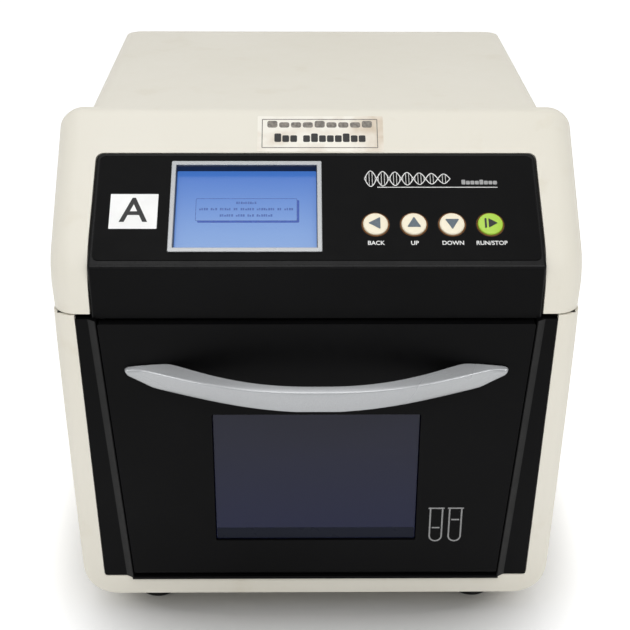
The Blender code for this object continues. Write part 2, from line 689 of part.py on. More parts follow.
# ---- processing chamber -------------------------------------------------------------------------
def structure():
    block("base_plate", (-BASE_HALF, BASE_HALF), (0.008, 0.362), BASE_Z, "alloy")
    for side, name in ((-1, "left"), (1, "right")):
        x = mirrored(side, (SIDE_PLATE_X, SIDE_PLATE_X + SHEET))
        block(f"side_plate_{name}", x, SIDE_PLATE_DEPTH, (BASE_TOP, DECK_Z), "alloy")
        rail_x = mirrored(side, RAIL_X)
        block(f"rail_{name}", rail_x, RAIL_DEPTH, (BASE_TOP, RAIL_TOP), "steel")
        foot = (side * GUIDE_X, behind(LIFT_DEPTH), BEAM_Z[1] + GAP)
        length = DECK_Z - BEAM_Z[1] - 2 * GAP
        rod(f"guide_rod_{name}", foot, "z", GUIDE_R, length, "steel", 16)
    half = SIDE_PLATE_X - GAP
    block("lower_beam", (-half, half), BEAM_DEPTH, BEAM_Z, "alloy")
    deck_x = (-SIDE_PLATE_X - SHEET, SIDE_PLATE_X + SHEET)
    deck_z = (DECK_Z + GAP, DECK_Z + GAP + SHEET)
    deck = block("lift_deck", deck_x, (DECK_FRONT, SIDE_PLATE_DEPTH[1]), deck_z, "alloy")
    for side in (-1, 1):
        centre = (side * LIFT_SCREW_X, behind(LIFT_DEPTH), DECK_Z - 0.01)
        cut(deck, rod("hole", centre, "z", SCREW_R + 0.002, 0.03))
    block("chamber_back", (-half, half), CHAMBER_BACK_DEPTH, (0.075, DECK_Z + SHEET), "alloy")


def lift_plate(name, z, matter):
    """T-shaped plate: a bar over the sample row, and a tongue back to the screws and guides."""
    bar, front, split = PLATE_BAR
    tongue, back = PLATE_TONGUE
    right = [(bar, front), (bar, split), (tongue, split), (tongue, back)]
    plate = prism_z(name, right + [(-x, d) for x, d in reversed(right)], *z, matter)
    for side in (-1, 1):
        foot = (side * GUIDE_X, behind(LIFT_DEPTH), z[0] - 0.01)
        cut(plate, rod("bore", foot, "z", GUIDE_R + 0.0005, 0.03, sides=16))
    return plate


def screw_nut(plate, side, z):
    """A boss with the running thread on its own screw, and room for the other screw."""
    nut_x, other_x = side * LIFT_SCREW_X, -side * LIFT_SCREW_X
    y = behind(LIFT_DEPTH)
    join(plate, rod("nut", (nut_x, y, z[0] + 0.001), "z", NUT_R, 0.015, sides=16))
    cut(plate, rod("thread", (nut_x, y, z[0] - 0.01), "z", SCREW_R + 0.0004, 0.05))
    cut(plate, rod("pass", (other_x, y, z[0] - 0.01), "z", SCREW_PASS_R, 0.05))


def rod_places():
    right = [ROD_FIRST + ROD_PITCH * i for i in range(RODS_PER_SIDE)]
    return [-x for x in reversed(right)] + right


def lifts():
    magnet = lift_plate("magnet_head", MAGNET_PLATE_Z, "alloy")
    length = MAGNET_PLATE_Z[0] + 0.002 - ROD_FOOT_Z
    for x in rod_places():
        foot = (x, behind(ROD_DEPTH), ROD_FOOT_Z)
        join(magnet, rod("magnet_rod", foot, "z", ROD_R, length, sides=8))
    screw_nut(magnet, -1, MAGNET_PLATE_Z)
    plunger = lift_plate("plunger_bar", PLUNGER_PLATE_Z, "black")
    for x in rod_places():
        foot = (x, behind(ROD_DEPTH), PLUNGER_PLATE_Z[0] - 0.01)
        cut(plunger, rod("bore", foot, "z", ROD_BORE_R, 0.03, sides=8))
    screw_nut(plunger, 1, PLUNGER_PLATE_Z)
    for side, name in ((-1, "magnet"), (1, "plunger")):
        x, y = side * LIFT_SCREW_X, behind(LIFT_DEPTH)
        foot_z = BEAM_Z[1] + GAP
        top = DECK_Z + 0.0034
        rod(f"{name}_screw", (x, y, foot_z), "z", SCREW_R, top - foot_z, "steel")
        half = MOTOR_SIDE / 2
        depth = (LIFT_DEPTH - half, LIFT_DEPTH + half)
        motor_z = (top + 0.0004, top + 0.0004 + MOTOR_LENGTH)
        block(f"{name}_motor", (x - half, x + half), depth, motor_z, "steel")


def carriage():
    x0, x1 = RAIL_X
    base = block("carriage", (-CARRIAGE_HALF, CARRIAGE_HALF), CARRIAGE_DEPTH, CARRIAGE_Z, "alloy")
    joined_z = CARRIAGE_Z[0] + 0.002
    leg_depth = (CARRIAGE_DEPTH[0] + LEG_INSET, CARRIAGE_DEPTH[1] - LEG_INSET)
    for side in (-1, 1):
        leg = mirrored(side, (x0 - 0.002, x1 + 0.002))
        join(base, block("leg", leg, leg_depth, (RAIL_TOP + GAP, joined_z)))
    nut_x = (-DRIVE_NUT_X, DRIVE_NUT_X)
    join(base, block("nut", nut_x, DRIVE_NUT_DEPTH, (0.034, joined_z)))
    before_nut = behind(DRIVE_NUT_DEPTH[0] - 0.01)
    cut(base, rod("thread", (0, before_nut, DRIVE_SCREW_Z), "y", SCREW_R + 0.0004, 0.05))
    length = DRIVE_MOTOR_FRONT - GAP - DRIVE_SCREW_FRONT
    rod("drive_screw", (0, behind(DRIVE_SCREW_FRONT), DRIVE_SCREW_Z), "y", SCREW_R, length, "steel")
    half = MOTOR_SIDE / 2
    depth = (DRIVE_MOTOR_FRONT, DRIVE_MOTOR_FRONT + MOTOR_LENGTH)
    block("drive_motor", (-half, half), depth, (BASE_TOP, BASE_TOP + MOTOR_SIDE), "steel")


def platform():
    """Sliding tray with a rack bay on each side of a centre rib, and low ribs that locate cartridges."""
    x, z0 = PLATFORM_HALF, PLATFORM_Z
    front, back = PLATFORM_DEPTH
    tray_front = front + ELUTION_DEPTH + GAP
    tray = block("platform", (-x, x), (tray_front, back), (z0, z0 + TRAY_TALL), "alloy")
    for side in (-1, 1):
        bay = mirrored(side, (0.0035, x - TRAY_WALL))
        cut(tray, block("bay", bay, (front + 0.024, back - TRAY_WALL), (z0 + 0.005, z0 + 0.05)))
        for i in range(RODS_PER_SIDE - 1):
            middle = side * (ROD_FIRST + ROD_PITCH * (i + 0.5))
            rib = (middle - 0.0006, middle + 0.0006)
            join(tray, block("rib", rib, (front + 0.030, back - 0.010), (z0 + 0.004, z0 + 0.0082)))
    heated_depth = (front, front + ELUTION_DEPTH)
    heated = block("elution_block", (-x, x), heated_depth, (z0, z0 + ELUTION_TALL), "alloy")
    for side in (-1, 1):
        trough = mirrored(side, (0.0035, x - TRAY_WALL))
        cut(heated, block("trough", trough, (front + 0.005, front + 0.015), (z0 + 0.010, z0 + 0.05)))


def chamber_fittings():
    half = SIDE_PLATE_X - GAP
    y = behind(LAMP_DEPTH)
    lamp = rod("uv_lamp", (-half, y, LAMP_Z), "x", LAMP_R, 2 * half, "lamp", 16)
    for x in (-half, half - LAMP_CAP):
        join(lamp, rod("cap", (x, y, LAMP_Z), "x", LAMP_CAP_R, LAMP_CAP, sides=16))
    block("door_catch", (0.116, half), (0.0136, 0.026), (0.203, 0.214), "black")


# ---- electronics and rear -----------------------------------------------------------------------
def electronics():
    block("power_supply", *SUPPLY, "alloy")
    board = block("control_board", *BOARD, "board")
    wide, tall = CHIP_HALF
    for x, z in CHIPS:
        join(board, block("part", (x - wide, x + wide), CHIP_DEPTH, (z - tall, z + tall)))


def fan():
    front = PANEL_DEPTH - GAP - FAN_DEPTH
    half = FAN_SIDE / 2
    side_x, side_z = (FAN_X - half, FAN_X + half), (FAN_Z - half, FAN_Z + half)
    frame = block("fan_frame", side_x, (front, front + FAN_DEPTH), side_z, "black")
    cut(frame, rod("bore", (FAN_X, behind(front - 0.01), FAN_Z), "y", FAN_BORE_R, 0.04, sides=24))
    seat_y = behind(front + 0.0002)
    join(frame, rod("seat", (FAN_X, seat_y, FAN_Z), "y", FAN_HUB_R - 0.0002, 0.002, sides=16))
    for i in range(FAN_STRUTS):
        strut = block("strut", (-0.0012, 0.0012), (front + 0.0003, front + 0.002), (0.006, 0.0193))
        turn = Matrix.Rotation(2 * math.pi * i / FAN_STRUTS, 4, "Y")
        strut.matrix_world = Matrix.Translation((FAN_X, 0, FAN_Z)) @ turn
        join(frame, strut)
    rotor = rod("fan_rotor", (0, 0.0026, 0), "y", FAN_HUB_R, 0.0145, "black", 20)
    pitched = (-0.0052, 0.0045), (-0.0044, 0.0038), (0.0052, 0.0138), (0.0044, 0.0145)
    for i in range(FAN_BLADES):
        blade = loft("blade", [[(x, y, z) for x, y in pitched] for z in (0.006, 0.0172)])
        blade.matrix_world = Matrix.Rotation(2 * math.pi * i / FAN_BLADES, 4, "Y")
        join(rotor, blade)
    rotor.location = (FAN_X, behind(front), FAN_Z)
    guard_y = behind(PANEL_DEPTH + PANEL_SHEET + GAP)
    guard = rod("fan_guard", (FAN_X, guard_y, FAN_Z), "y", 0.0030, 0.0015, "steel", 24)
    for radius in GUARD_RINGS:
        ring = rod("ring", (FAN_X, guard_y, FAN_Z), "y", radius, 0.0015, sides=24)
        inside = rod("inside", (FAN_X, guard_y - 0.01, FAN_Z), "y", radius - GUARD_WIRE, 0.03, sides=24)
        join(guard, cut(ring, inside))
    for i in range(2):
        spoke = block("spoke", (-0.0225, 0.0225), (0, GUARD_WIRE), (-0.0007, 0.0007))
        turn = Matrix.Rotation(math.radians(45 + 90 * i), 4, "Y")
        spoke.matrix_world = Matrix.Translation((FAN_X, guard_y - FACE_Y + 0.0001, FAN_Z)) @ turn
        join(guard, spoke)


def power_entry():
    """Mains inlet with its socket, fuse drawer and rocker switch, and the two data ports."""
    back = PANEL_DEPTH + PANEL_SHEET
    z0, z1 = INLET_Z
    inlet = block("power_inlet", INLET_X, (back + GAP, back + 0.003), INLET_Z, "black")
    body = (INLET_X[0] + INLET_FLANGE, INLET_X[1] - INLET_FLANGE)
    body_z = (z0 + INLET_FLANGE, z1 - INLET_FLANGE)
    join(inlet, block("body", body, (back - 0.030, back + 0.001), body_z))
    low, high = z0 + SOCKET_MARGIN, z1 - SOCKET_MARGIN
    cut(inlet, block("socket", SOCKET_X, (back - 0.016, back + 0.01), (low, high)))
    switch_x = (SWITCH_X[0] - GAP, SWITCH_X[1] + GAP)
    switch_z = (z0 + SWITCH_MARGIN, z1 - SWITCH_MARGIN)
    cut(inlet, block("bay", switch_x, (back - 0.014, back + 0.01), switch_z))
    fuse_x = (FUSE_X[0] - GAP, FUSE_X[1] + GAP)
    cut(inlet, block("bay", fuse_x, (back - 0.024, back + 0.01), (low, high)))
    block("fuse_drawer", FUSE_X, (back - 0.0235, back + 0.004), (low + GAP, high - GAP), "black")
    tall, thick = SWITCH_HALF, 0.0035
    rocker = [(-thick, -tall * 0.75), (0.0022, -tall), (0.0012, 0)]
    rocker += [(0.0022, tall), (-thick, tall * 0.75), (-0.007, 0)]
    outline = [(d - FACE_Y, z) for d, z in rocker]
    key = prism_x("power_switch", outline, *SWITCH_X, "black")
    key.rotation_euler.x = math.radians(SWITCH_TILT)
    key.location = (0, behind(SWITCH_AXIS[0]), SWITCH_AXIS[1])
    for (x0, x1), name in zip(PORTS, ("serial_port", "scanner_port")):
        block(name, (x0, x1), (back - 0.010, back + 0.0045), PORT_Z, "steel")


# ---- whole object -------------------------------------------------------------------------------
def main():
    for obj in list(bpy.data.objects):
        bpy.data.objects.remove(obj)
    lower_housing()
    feet()
    rear_panel()
    upper_cover()
    console_panel()
    display()
    buttons()
    door_panel()
    door_fittings()
    door_handle()
    door_surround()
    structure()
    lifts()
    carriage()
    platform()
    chamber_fittings()
    electronics()
    fan()
    power_entry()


main()
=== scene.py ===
"""Looks of the benchtop sixteen-sample nucleic-acid extractor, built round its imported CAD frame.

Metres, +Z up, front towards -Y. Lengths called depth run back from the front face of the housing's
posts. On the console, "across" runs along X, "up" runs up the slope from its ridge and "out" stands
away from it.
"""

import json
from math import copysign, cos, hypot, pi, radians, sin, sqrt, tan

import bmesh
import bpy
from mathutils import Matrix, Vector


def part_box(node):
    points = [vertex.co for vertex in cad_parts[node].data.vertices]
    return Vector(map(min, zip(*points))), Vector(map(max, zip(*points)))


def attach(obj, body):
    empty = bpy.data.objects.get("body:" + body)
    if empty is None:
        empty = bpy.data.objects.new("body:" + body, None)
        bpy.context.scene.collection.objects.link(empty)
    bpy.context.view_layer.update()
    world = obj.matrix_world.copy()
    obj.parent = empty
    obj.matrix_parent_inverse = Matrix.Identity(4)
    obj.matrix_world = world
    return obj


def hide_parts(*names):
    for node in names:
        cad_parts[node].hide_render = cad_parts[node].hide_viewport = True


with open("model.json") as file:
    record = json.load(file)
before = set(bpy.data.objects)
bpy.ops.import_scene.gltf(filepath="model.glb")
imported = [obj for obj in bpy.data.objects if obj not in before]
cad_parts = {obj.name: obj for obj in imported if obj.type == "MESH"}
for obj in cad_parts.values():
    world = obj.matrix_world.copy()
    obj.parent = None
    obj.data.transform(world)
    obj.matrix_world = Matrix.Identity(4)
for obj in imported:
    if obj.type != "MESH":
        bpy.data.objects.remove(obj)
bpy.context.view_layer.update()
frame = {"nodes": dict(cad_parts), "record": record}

RECORD = frame["record"]
SLOT_OF = {part["node"]: part["material_slot"] for part in RECORD["subparts"]}
BODY_OF = {node: body for body, nodes in RECORD["behaviour"]["bodies"].items() for node in nodes}

# ---- places and sizes, from the frame
TUB_LOW, TUB_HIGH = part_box("lower_housing")
COVER_LOW, COVER_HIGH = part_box("upper_cover")
CONSOLE_LOW, CONSOLE_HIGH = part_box("console_panel")
DOOR_LOW, DOOR_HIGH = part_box("door_panel")
PANE_LOW, PANE_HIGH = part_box("door_window")
HANDLE_LOW, HANDLE_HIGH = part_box("door_handle")

GAP = 0.0003
WALL = 0.003
FACE_Y = TUB_LOW.y
BODY_DEPTH = TUB_HIGH.y - FACE_Y
FLOOR_Z = TUB_LOW.z
HEIGHT = COVER_HIGH.z
SEAM_Z = COVER_LOW.z - GAP
HALF_WIDTH = TUB_HIGH.x
TUB_TAPER = 0.0275             # how much each side draws in per metre of height
TUB_CORNER = 0.023
PLAN_CORNER = 0.012

SLOPE = radians(34.7)
CONSOLE_LENGTH = 0.0837
CONSOLE_HALF = CONSOLE_HIGH.x
CONSOLE_TOP_CORNER = 0.005
RIDGE = Vector((0, CONSOLE_LOW.y, CONSOLE_HIGH.z - CONSOLE_LENGTH * sin(SLOPE)))
CONSOLE_FRAME = Matrix.Translation(RIDGE) @ Matrix.Rotation(SLOPE, 4, "X")
FILM_MARGIN = 0.0027           # bare plastic round the printed film
FILM_FOOT = 0.0047
PRINT = 0.00006                # thickness of ink and paper

COLLAR_DEPTH = 0.106
COLLAR_EDGE = 0.016
CHEEK_NOSE = 0.04
CREASE = 0.01                 # rounding between the slope and the flat top
HOOD_HALF = 0.149
HOOD_SHOULDER = 0.012
HOOD_TAIL = 0.094

SILL_Z = 0.0286
POST_TOP, POST_BOTTOM = 0.1487, 0.1435

AXIS_TURN = {
    "x": Matrix.Rotation(pi / 2, 4, "Y"),
    "y": Matrix.Rotation(-pi / 2, 4, "X"),
    "z": Matrix.Identity(4),
}


# ---- materials
def shader_node(tree, kind, inputs, **settings):
    made = tree.nodes.new("ShaderNode" + kind)
    for key, value in settings.items():
        setattr(made, key, value)
    for key, value in inputs.items():
        if isinstance(value, bpy.types.NodeSocket):
            tree.links.new(value, made.inputs[key])
        else:
            made.inputs[key].default_value = value
    return made


def ranged(tree, value, low, high, to_low, to_high):
    inputs = {"Value": value, "From Min": low, "From Max": high, "To Min": to_low, "To Max": to_high}
    return shader_node(tree, "MapRange", inputs).outputs["Result"]


class Finish:
    """A Principled material whose colour, roughness and relief come from nodes in object space."""

    def __init__(self, name, **constants):
        self.material = bpy.data.materials.new(name)
        self.material.use_nodes = True
        self.tree = self.material.node_tree
        self.shader = self.tree.nodes["Principled BSDF"]
        for socket, value in constants.items():
            self.shader.inputs[socket.replace("_", " ")].default_value = value
        self.place = self.tree.nodes.new("ShaderNodeTexCoord").outputs["Object"]
        self.normal = None

    def node(self, kind, inputs, **settings):
        return shader_node(self.tree, kind, inputs, **settings)

    def feed(self, socket, value):
        self.tree.links.new(value, self.shader.inputs[socket])

    def noise(self, scale, detail=2.0, stretch=(1, 1, 1)):
        mapped = self.node("Mapping", {"Vector": self.place, "Scale": stretch})
        made = self.node("TexNoise", {"Vector": mapped.outputs[0], "Scale": scale, "Detail": detail})
        return made.outputs["Fac"]

    def height(self, low, high):
        """0 at height low to 1 at height high."""
        parts = self.node("SeparateXYZ", {"Vector": self.place})
        return ranged(self.tree, parts.outputs["Z"], low, high, 0, 1)

    def ramp(self, factor, first, last, start=0.35, end=0.65):
        made = self.node("ValToRGB", {"Fac": factor})
        for stop, place, colour in zip(made.color_ramp.elements, (start, end), (first, last)):
            stop.position = place
            stop.color = (*colour, 1)
        return made.outputs["Color"]

    def multiply(self, colour, by):
        made = self.node("Mix", {0: 1.0, 6: colour, 7: by}, data_type="RGBA", blend_type="MULTIPLY")
        return made.outputs[2]

    def colour(self, value):
        self.feed("Base Color", value)

    def rough(self, factor, low, high):
        self.feed("Roughness", ranged(self.tree, factor, 0.3, 0.7, low, high))

    def relief(self, factor, depth, strength=1.0):
        inputs = {"Height": factor, "Distance": depth, "Strength": strength}
        if self.normal:
            inputs["Normal"] = self.normal
        self.normal = self.node("Bump", inputs).outputs["Normal"]
        self.feed("Normal", self.normal)


def surface(name, tone, colours, gloss, *reliefs, **constants):
    """A finish made from noise. Tone, and the start of gloss and of each relief, are what noise takes."""
    made = Finish(name, **constants)
    made.colour(made.ramp(made.noise(*tone), *colours))
    if gloss:
        made.rough(made.noise(*gloss[:-2]), *gloss[-2:])
    for *grain, depth, strength in reliefs:
        made.relief(made.noise(*grain), depth, strength)
    return made.material


def moulding(name, dark, light, roughness, texture=2600, depth=0.00003, **constants):
    """Moulded plastic: a fine spark-eroded texture, slow waves in the wall and slightly uneven gloss."""
    return surface(name, (7, 3), (dark, light), (110, 4, roughness - 0.05, roughness + 0.06),
                   (16, 1, 0.0004, 0.25), (texture, 2, depth, 0.5), **constants)


def aged_cream():
    """Cream moulding that has yellowed unevenly, with a few faint scuffs."""
    made = Finish("cream_plastic", IOR=1.47)
    base = made.ramp(made.noise(6, 3), (0.745, 0.712, 0.618), (0.772, 0.742, 0.655))
    scuffs = made.ramp(made.noise(45, 9), (0.965, 0.955, 0.935), (1, 1, 1), 0.28, 0.4)
    made.colour(made.multiply(base, scuffs))
    made.rough(made.noise(90, 5), 0.4, 0.52)
    made.relief(made.noise(14, 1), 0.0005, 0.25)
    made.relief(made.noise(2400, 2), 0.00004, 0.55)
    return made.material


def brushed(name, dark, light, roughness, stretch):
    """Metal with a fine one-way grain."""
    grain, gloss = (900, 4, stretch), (500, 3, stretch, roughness - 0.04, roughness + 0.04)
    return surface(name, grain, (dark, light), gloss, (*grain, 0.000006, 0.25), Metallic=0.85)


def ink(name, dark, light, roughness=0.5):
    """Screen-printed ink: slightly uneven density."""
    return surface(name, (600, 3), (dark, light), (300, 2, roughness - 0.05, roughness + 0.05),
                   (2500, 1, 0.000008, 0.4))


def lit_display():
    """Blue backlit liquid crystal, paler towards the bottom, with the faint lines of its cells."""
    low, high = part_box("lcd_screen")
    made = Finish("display_blue", Roughness=0.18, IOR=1.5)
    made.shader.inputs["Emission Color"].default_value = (0.11, 0.32, 1.0, 1)
    made.shader.inputs["Emission Strength"].default_value = 0.43
    made.colour(made.ramp(made.height(low.z, high.z), (0.155, 0.215, 0.24), (0.008, 0.04, 0.14), 0.1, 0.9))
    made.rough(made.noise(400, 2), 0.15, 0.22)
    made.relief(made.noise(3000, 1, (1, 0.02, 0.02)), 0.00001, 0.3)
    return made.material


def tinted_acrylic():
    made = Finish("window_acrylic", IOR=1.35, Coat_Weight=0.06, Coat_Roughness=0.06, Alpha=0.94)
    low, high = PANE_LOW.z, PANE_HIGH.z
    made.colour(made.ramp(made.height(low, high), (0.006, 0.009, 0.042), (0.009, 0.01, 0.026), 0.0, 0.8))
    made.rough(made.noise(35, 5), 0.16, 0.26)
    made.relief(made.noise(12, 1), 0.0003, 0.15)
    return made.material


def solder_mask():
    """Green board with a lattice of slightly raised tracks."""
    made = Finish("board_green", Specular_IOR_Level=0.5)
    cells = made.node("TexBrick", {"Vector": made.place, "Scale": 220.0, "Mortar Size": 0.012,
                                   "Color1": (0.01, 0.1, 0.035, 1), "Color2": (0.012, 0.12, 0.045, 1),
                                   "Mortar": (0.03, 0.24, 0.09, 1)})
    made.colour(cells.outputs["Color"])
    made.rough(made.noise(300, 3), 0.3, 0.45)
    made.relief(cells.outputs["Fac"], 0.00005, 0.7)
    return made.material


def grey(level):
    return level, level, level


CREAM = aged_cream()
BLACK = moulding("black_plastic", (0.0028, 0.0028, 0.003), (0.0042, 0.0042, 0.0045), 0.38,
                 Specular_IOR_Level=0.06)
# A lighter, glossier copy of the black plastic: painted light on the console's slope and ridge.
SLOPE_PAINTED_LIGHT = moulding("black_slope_painted_light", (0.0038, 0.0038, 0.004), (0.0055, 0.0055, 0.0058), 0.28,
                       Specular_IOR_Level=0.15)
# A lighter, glossier copy of the black plastic: a painted highlight on the door surround's bevel.
BEVEL_PAINTED_LIGHT = moulding("black_bevel_painted_light", grey(0.006), grey(0.009), 0.34, Specular_IOR_Level=0.16)
BLACK_SMOOTH = moulding("black_smooth", grey(0.004), grey(0.006), 0.26, 1200, 0.00001,
                        Specular_IOR_Level=0.25)
FILM = moulding("black_film", (0.0032, 0.0032, 0.0034), (0.0046, 0.0046, 0.0048), 0.36, 1500, 0.00001,
                Specular_IOR_Level=0.05)
# The blue in this black rubber is a painted reflection of the screen's blue light on the recess walls.
GASKET = moulding("gasket_rubber", (0.006, 0.01, 0.03), (0.009, 0.014, 0.04), 0.35)
RUBBER = moulding("foot_rubber", grey(0.01), grey(0.018), 0.75, 900, 0.00008)
IVORY = moulding("key_ivory", (0.84, 0.76, 0.57), (0.9, 0.84, 0.68), 0.36)
LIME = moulding("key_green", (0.36, 0.6, 0.045), (0.44, 0.68, 0.065), 0.36)
CERAMIC = moulding("lamp_ceramic", (0.74, 0.73, 0.7), (0.82, 0.81, 0.78), 0.5)
# Ring round each key: the edge of the film's hole, its amber a painted warm glow.
KEY_RING_PAINTED_GLOW = moulding("key_ring_painted_glow", (0.2, 0.075, 0.014), (0.27, 0.11, 0.022), 0.3)
# Near-black print for the pane's foot: painted shade where the door's lower ledge shows dark through the
# window.
PANE_FOOT_PAINTED_SHADE = moulding("pane_foot_painted_shade", (0.006, 0.008, 0.016), (0.008, 0.01, 0.02), 0.3,
                    Specular_IOR_Level=0.12)
# Fine silver paint: a faint metallic fleck under a satin lacquer.
SILVER = surface("silver_paint", (1800, 2), ((0.365, 0.375, 0.385), (0.395, 0.405, 0.415)),
                 (12, 1, 0.26, 0.28), Metallic=0.35, Coat_Weight=0.5, Coat_Roughness=0.16)
ALLOY = brushed("anodised_sheet", (0.52, 0.53, 0.54), (0.6, 0.61, 0.62), 0.45, (0.04, 1, 1))
MACHINED = brushed("machined_alloy", (0.58, 0.59, 0.6), (0.66, 0.67, 0.68), 0.42, (1, 0.05, 1))
STEEL = brushed("satin_steel", (0.36, 0.37, 0.38), (0.5, 0.51, 0.52), 0.32, (1, 1, 0.05))
ZINC = brushed("zinc_plate", (0.45, 0.46, 0.47), grey(0.6), 0.35, (1, 1, 1))
DISPLAY = lit_display()
ACRYLIC = tinted_acrylic()
PAPER = surface("white_paper", (40, 4), ((0.86, 0.86, 0.85), (0.93, 0.93, 0.92)), None,
                (900, 3, 0.00001, 0.5), Roughness=0.55)
# Label stock with brown water stains.
OLD_PAPER = surface("old_paper", (28, 5), ((0.86, 0.83, 0.75), (0.5, 0.36, 0.22), 0.5, 0.76),
                    (28, 5, 0.6, 0.75), (900, 3, 0.00002, 0.5), Roughness=0.7)
WHITE_INK = ink("white_ink", (0.68, 0.68, 0.67), (0.8, 0.8, 0.79))
GREY_INK = ink("grey_ink", grey(0.22), grey(0.28))
PALE_INK = ink("pale_ink", grey(0.3), grey(0.36))
FADED_INK = ink("faded_ink", (0.12, 0.11, 0.095), (0.26, 0.235, 0.2))
BLACK_INK = ink("black_ink", grey(0.008), grey(0.014))
SLATE_INK = ink("slate_ink", (0.085, 0.115, 0.145), (0.115, 0.15, 0.18))
DARK_BLUE = ink("display_shadow", (0.01, 0.06, 0.36), (0.014, 0.075, 0.4), 0.25)
MID_BLUE = ink("display_print", (0.04, 0.105, 0.36), (0.05, 0.125, 0.4), 0.25)
BOARD = solder_mask()
LAMP = surface("lamp_quartz", (30, 3), ((0.78, 0.8, 0.86), (0.9, 0.92, 0.96)), (200, 3, 0.08, 0.16),
               (60, 2, 0.0001, 0.2), IOR=1.46, Transmission_Weight=0.35)

FINISH_OF_SLOT = {
    "cream_housing": CREAM, "black_plastic": BLACK, "handle_silver": SILVER, "gasket_rubber": GASKET,
    "foot_rubber": RUBBER, "window_tint": ACRYLIC, "display_glass": DISPLAY, "button_ivory": IVORY,
    "button_green": LIME, "sheet_alloy": ALLOY, "steel": STEEL, "circuit_board": BOARD, "lamp_glass": LAMP,
}


# ---- mesh tools
def behind(depth):
    return FACE_Y + depth


def linked(name, data):
    made = bpy.data.objects.new(name, data)
    bpy.context.scene.collection.objects.link(made)
    return made


def solid(name, bm, finish=None, sharp=32):
    bmesh.ops.recalc_face_normals(bm, faces=bm.faces)
    mesh = bpy.data.meshes.new(name)
    bm.to_mesh(mesh)
    bm.free()
    made = linked(name, mesh)
    if finish:
        mesh.materials.append(finish)
    mesh.shade_smooth()
    mesh.set_sharp_from_angle(angle=radians(sharp))
    return made


def loft(name, sections, finish=None, sharp=32, closed=False):
    """A solid through loops with the same number of points: capped, or joined end to end if closed."""
    bm = bmesh.new()
    rings = [[bm.verts.new(point) for point in section] for section in sections]
    count = len(rings[0])
    for low, high in zip(rings, rings[1:] + (rings[:1] if closed else [])):
        for i in range(count):
            j = (i + 1) % count
            bm.faces.new((low[i], low[j], high[j], high[i]))
    if not closed:
        bm.faces.new(rings[0][::-1])
        bm.faces.new(rings[-1])
    return solid(name, bm, finish, sharp)


def prism(name, outline, low, high, finish=None):
    return loft(name, [[(a, b, c) for a, b in outline] for c in (low, high)], finish)


def prism_x(name, outline, x0, x1, finish=None):
    return loft(name, [[(x, behind(d), z) for d, z in outline] for x in (x0, x1)], finish)


def prism_y(name, outline, depth0, depth1, finish=None):
    return loft(name, [[(x, behind(d), z) for x, z in outline] for d in (depth0, depth1)], finish)


def slab(name, x, z, radius, depth0, depth1, finish=None):
    """A round-cornered plate that faces the front."""
    return prism_y(name, soft_box(x, z, radius), depth0, depth1, finish)


def prism_z(name, outline, z0, z1, finish=None):
    return loft(name, [[(x, behind(d), z) for x, d in outline] for z in (z0, z1)], finish)


def rectangle(a0, a1, b0, b1):
    return [(a0, b0), (a1, b0), (a1, b1), (a0, b1)]


def grown(pair, by):
    return pair[0] - by, pair[1] + by


def arc(centre, radius, start, end, steps):
    angles = [radians(start + (end - start) * i / steps) for i in range(steps + 1)]
    return [(centre[0] + radius * cos(a), centre[1] + radius * sin(a)) for a in angles]


def rounded(outline, radii, steps=6):
    """The outline with each corner that has a radius turned into an arc."""
    made = []
    for i, (corner, radius) in enumerate(zip(outline, radii)):
        if not radius:
            made.append(tuple(corner))
            continue
        here = Vector(corner)
        before = (Vector(outline[i - 1]) - here).normalized()
        after = (Vector(outline[(i + 1) % len(outline)]) - here).normalized()
        half = before.angle(after) / 2
        centre = here + (before + after).normalized() * (radius / sin(half))
        spoke = here + before * (radius / tan(half)) - centre
        turn = copysign(pi - 2 * half, after.x * before.y - after.y * before.x)
        for k in range(steps + 1):
            point = centre + Matrix.Rotation(turn * k / steps, 2) @ spoke
            made.append((point.x, point.y))
    return made


def mirror(points):
    """The points on the other side, from last to first."""
    return [(-x, *rest) for x, *rest in reversed(points)]


def quarter(steps):
    """(sine, 1 - cosine) pairs over a right angle."""
    turns = [pi / 2 * i / steps for i in range(steps + 1)]
    return [(sin(turn), 1 - cos(turn)) for turn in turns]


def soft_box(x, y, radius, steps=6):
    """A rectangle with round corners."""
    return rounded(rectangle(*x, *y), (radius,) * 4, steps)


def bar(name, centre, axis, radius, length, finish=None, sides=40, end_radius=None):
    bm = bmesh.new()
    bmesh.ops.create_cone(
        bm, cap_ends=True, segments=sides, radius1=radius, depth=length,
        radius2=radius if end_radius is None else end_radius,
        matrix=AXIS_TURN[axis] @ Matrix.Translation((0, 0, length / 2)),
    )
    bmesh.ops.translate(bm, verts=bm.verts, vec=centre)
    return solid(name, bm, finish)


def turned(name, profile, finish, steps=48, sharp=30):
    """A solid of revolution about its own Z, from (radius, height) points that begin and end on it."""
    bm = bmesh.new()
    points = [bm.verts.new((radius, 0, height)) for radius, height in profile]
    edges = [bm.edges.new(pair) for pair in zip(points, points[1:])]
    bmesh.ops.spin(bm, geom=points + edges, cent=(0, 0, 0), axis=(0, 0, 1), angle=2 * pi,
                   steps=steps, use_merge=True, use_duplicate=False)
    bmesh.ops.remove_doubles(bm, verts=bm.verts, dist=1e-6)
    return solid(name, bm, finish, sharp)


def hoop(name, profile, finish, sides=64):
    """A ring about its own Z with this (radius, height) section."""
    sections = []
    for i in range(sides):
        turn = 2 * pi * i / sides
        sections.append([(r * cos(turn), r * sin(turn), z) for r, z in profile])
    return loft(name, sections, finish, closed=True)


def wire_ring(name, centre, radius, thickness, finish, sides=64):
    """A round wire bent into a ring that faces the back."""
    made = hoop(name, arc((radius, 0), thickness, 0, 315, 7), finish, sides)
    made.data.transform(Matrix.Translation(centre) @ AXIS_TURN["y"])
    return made


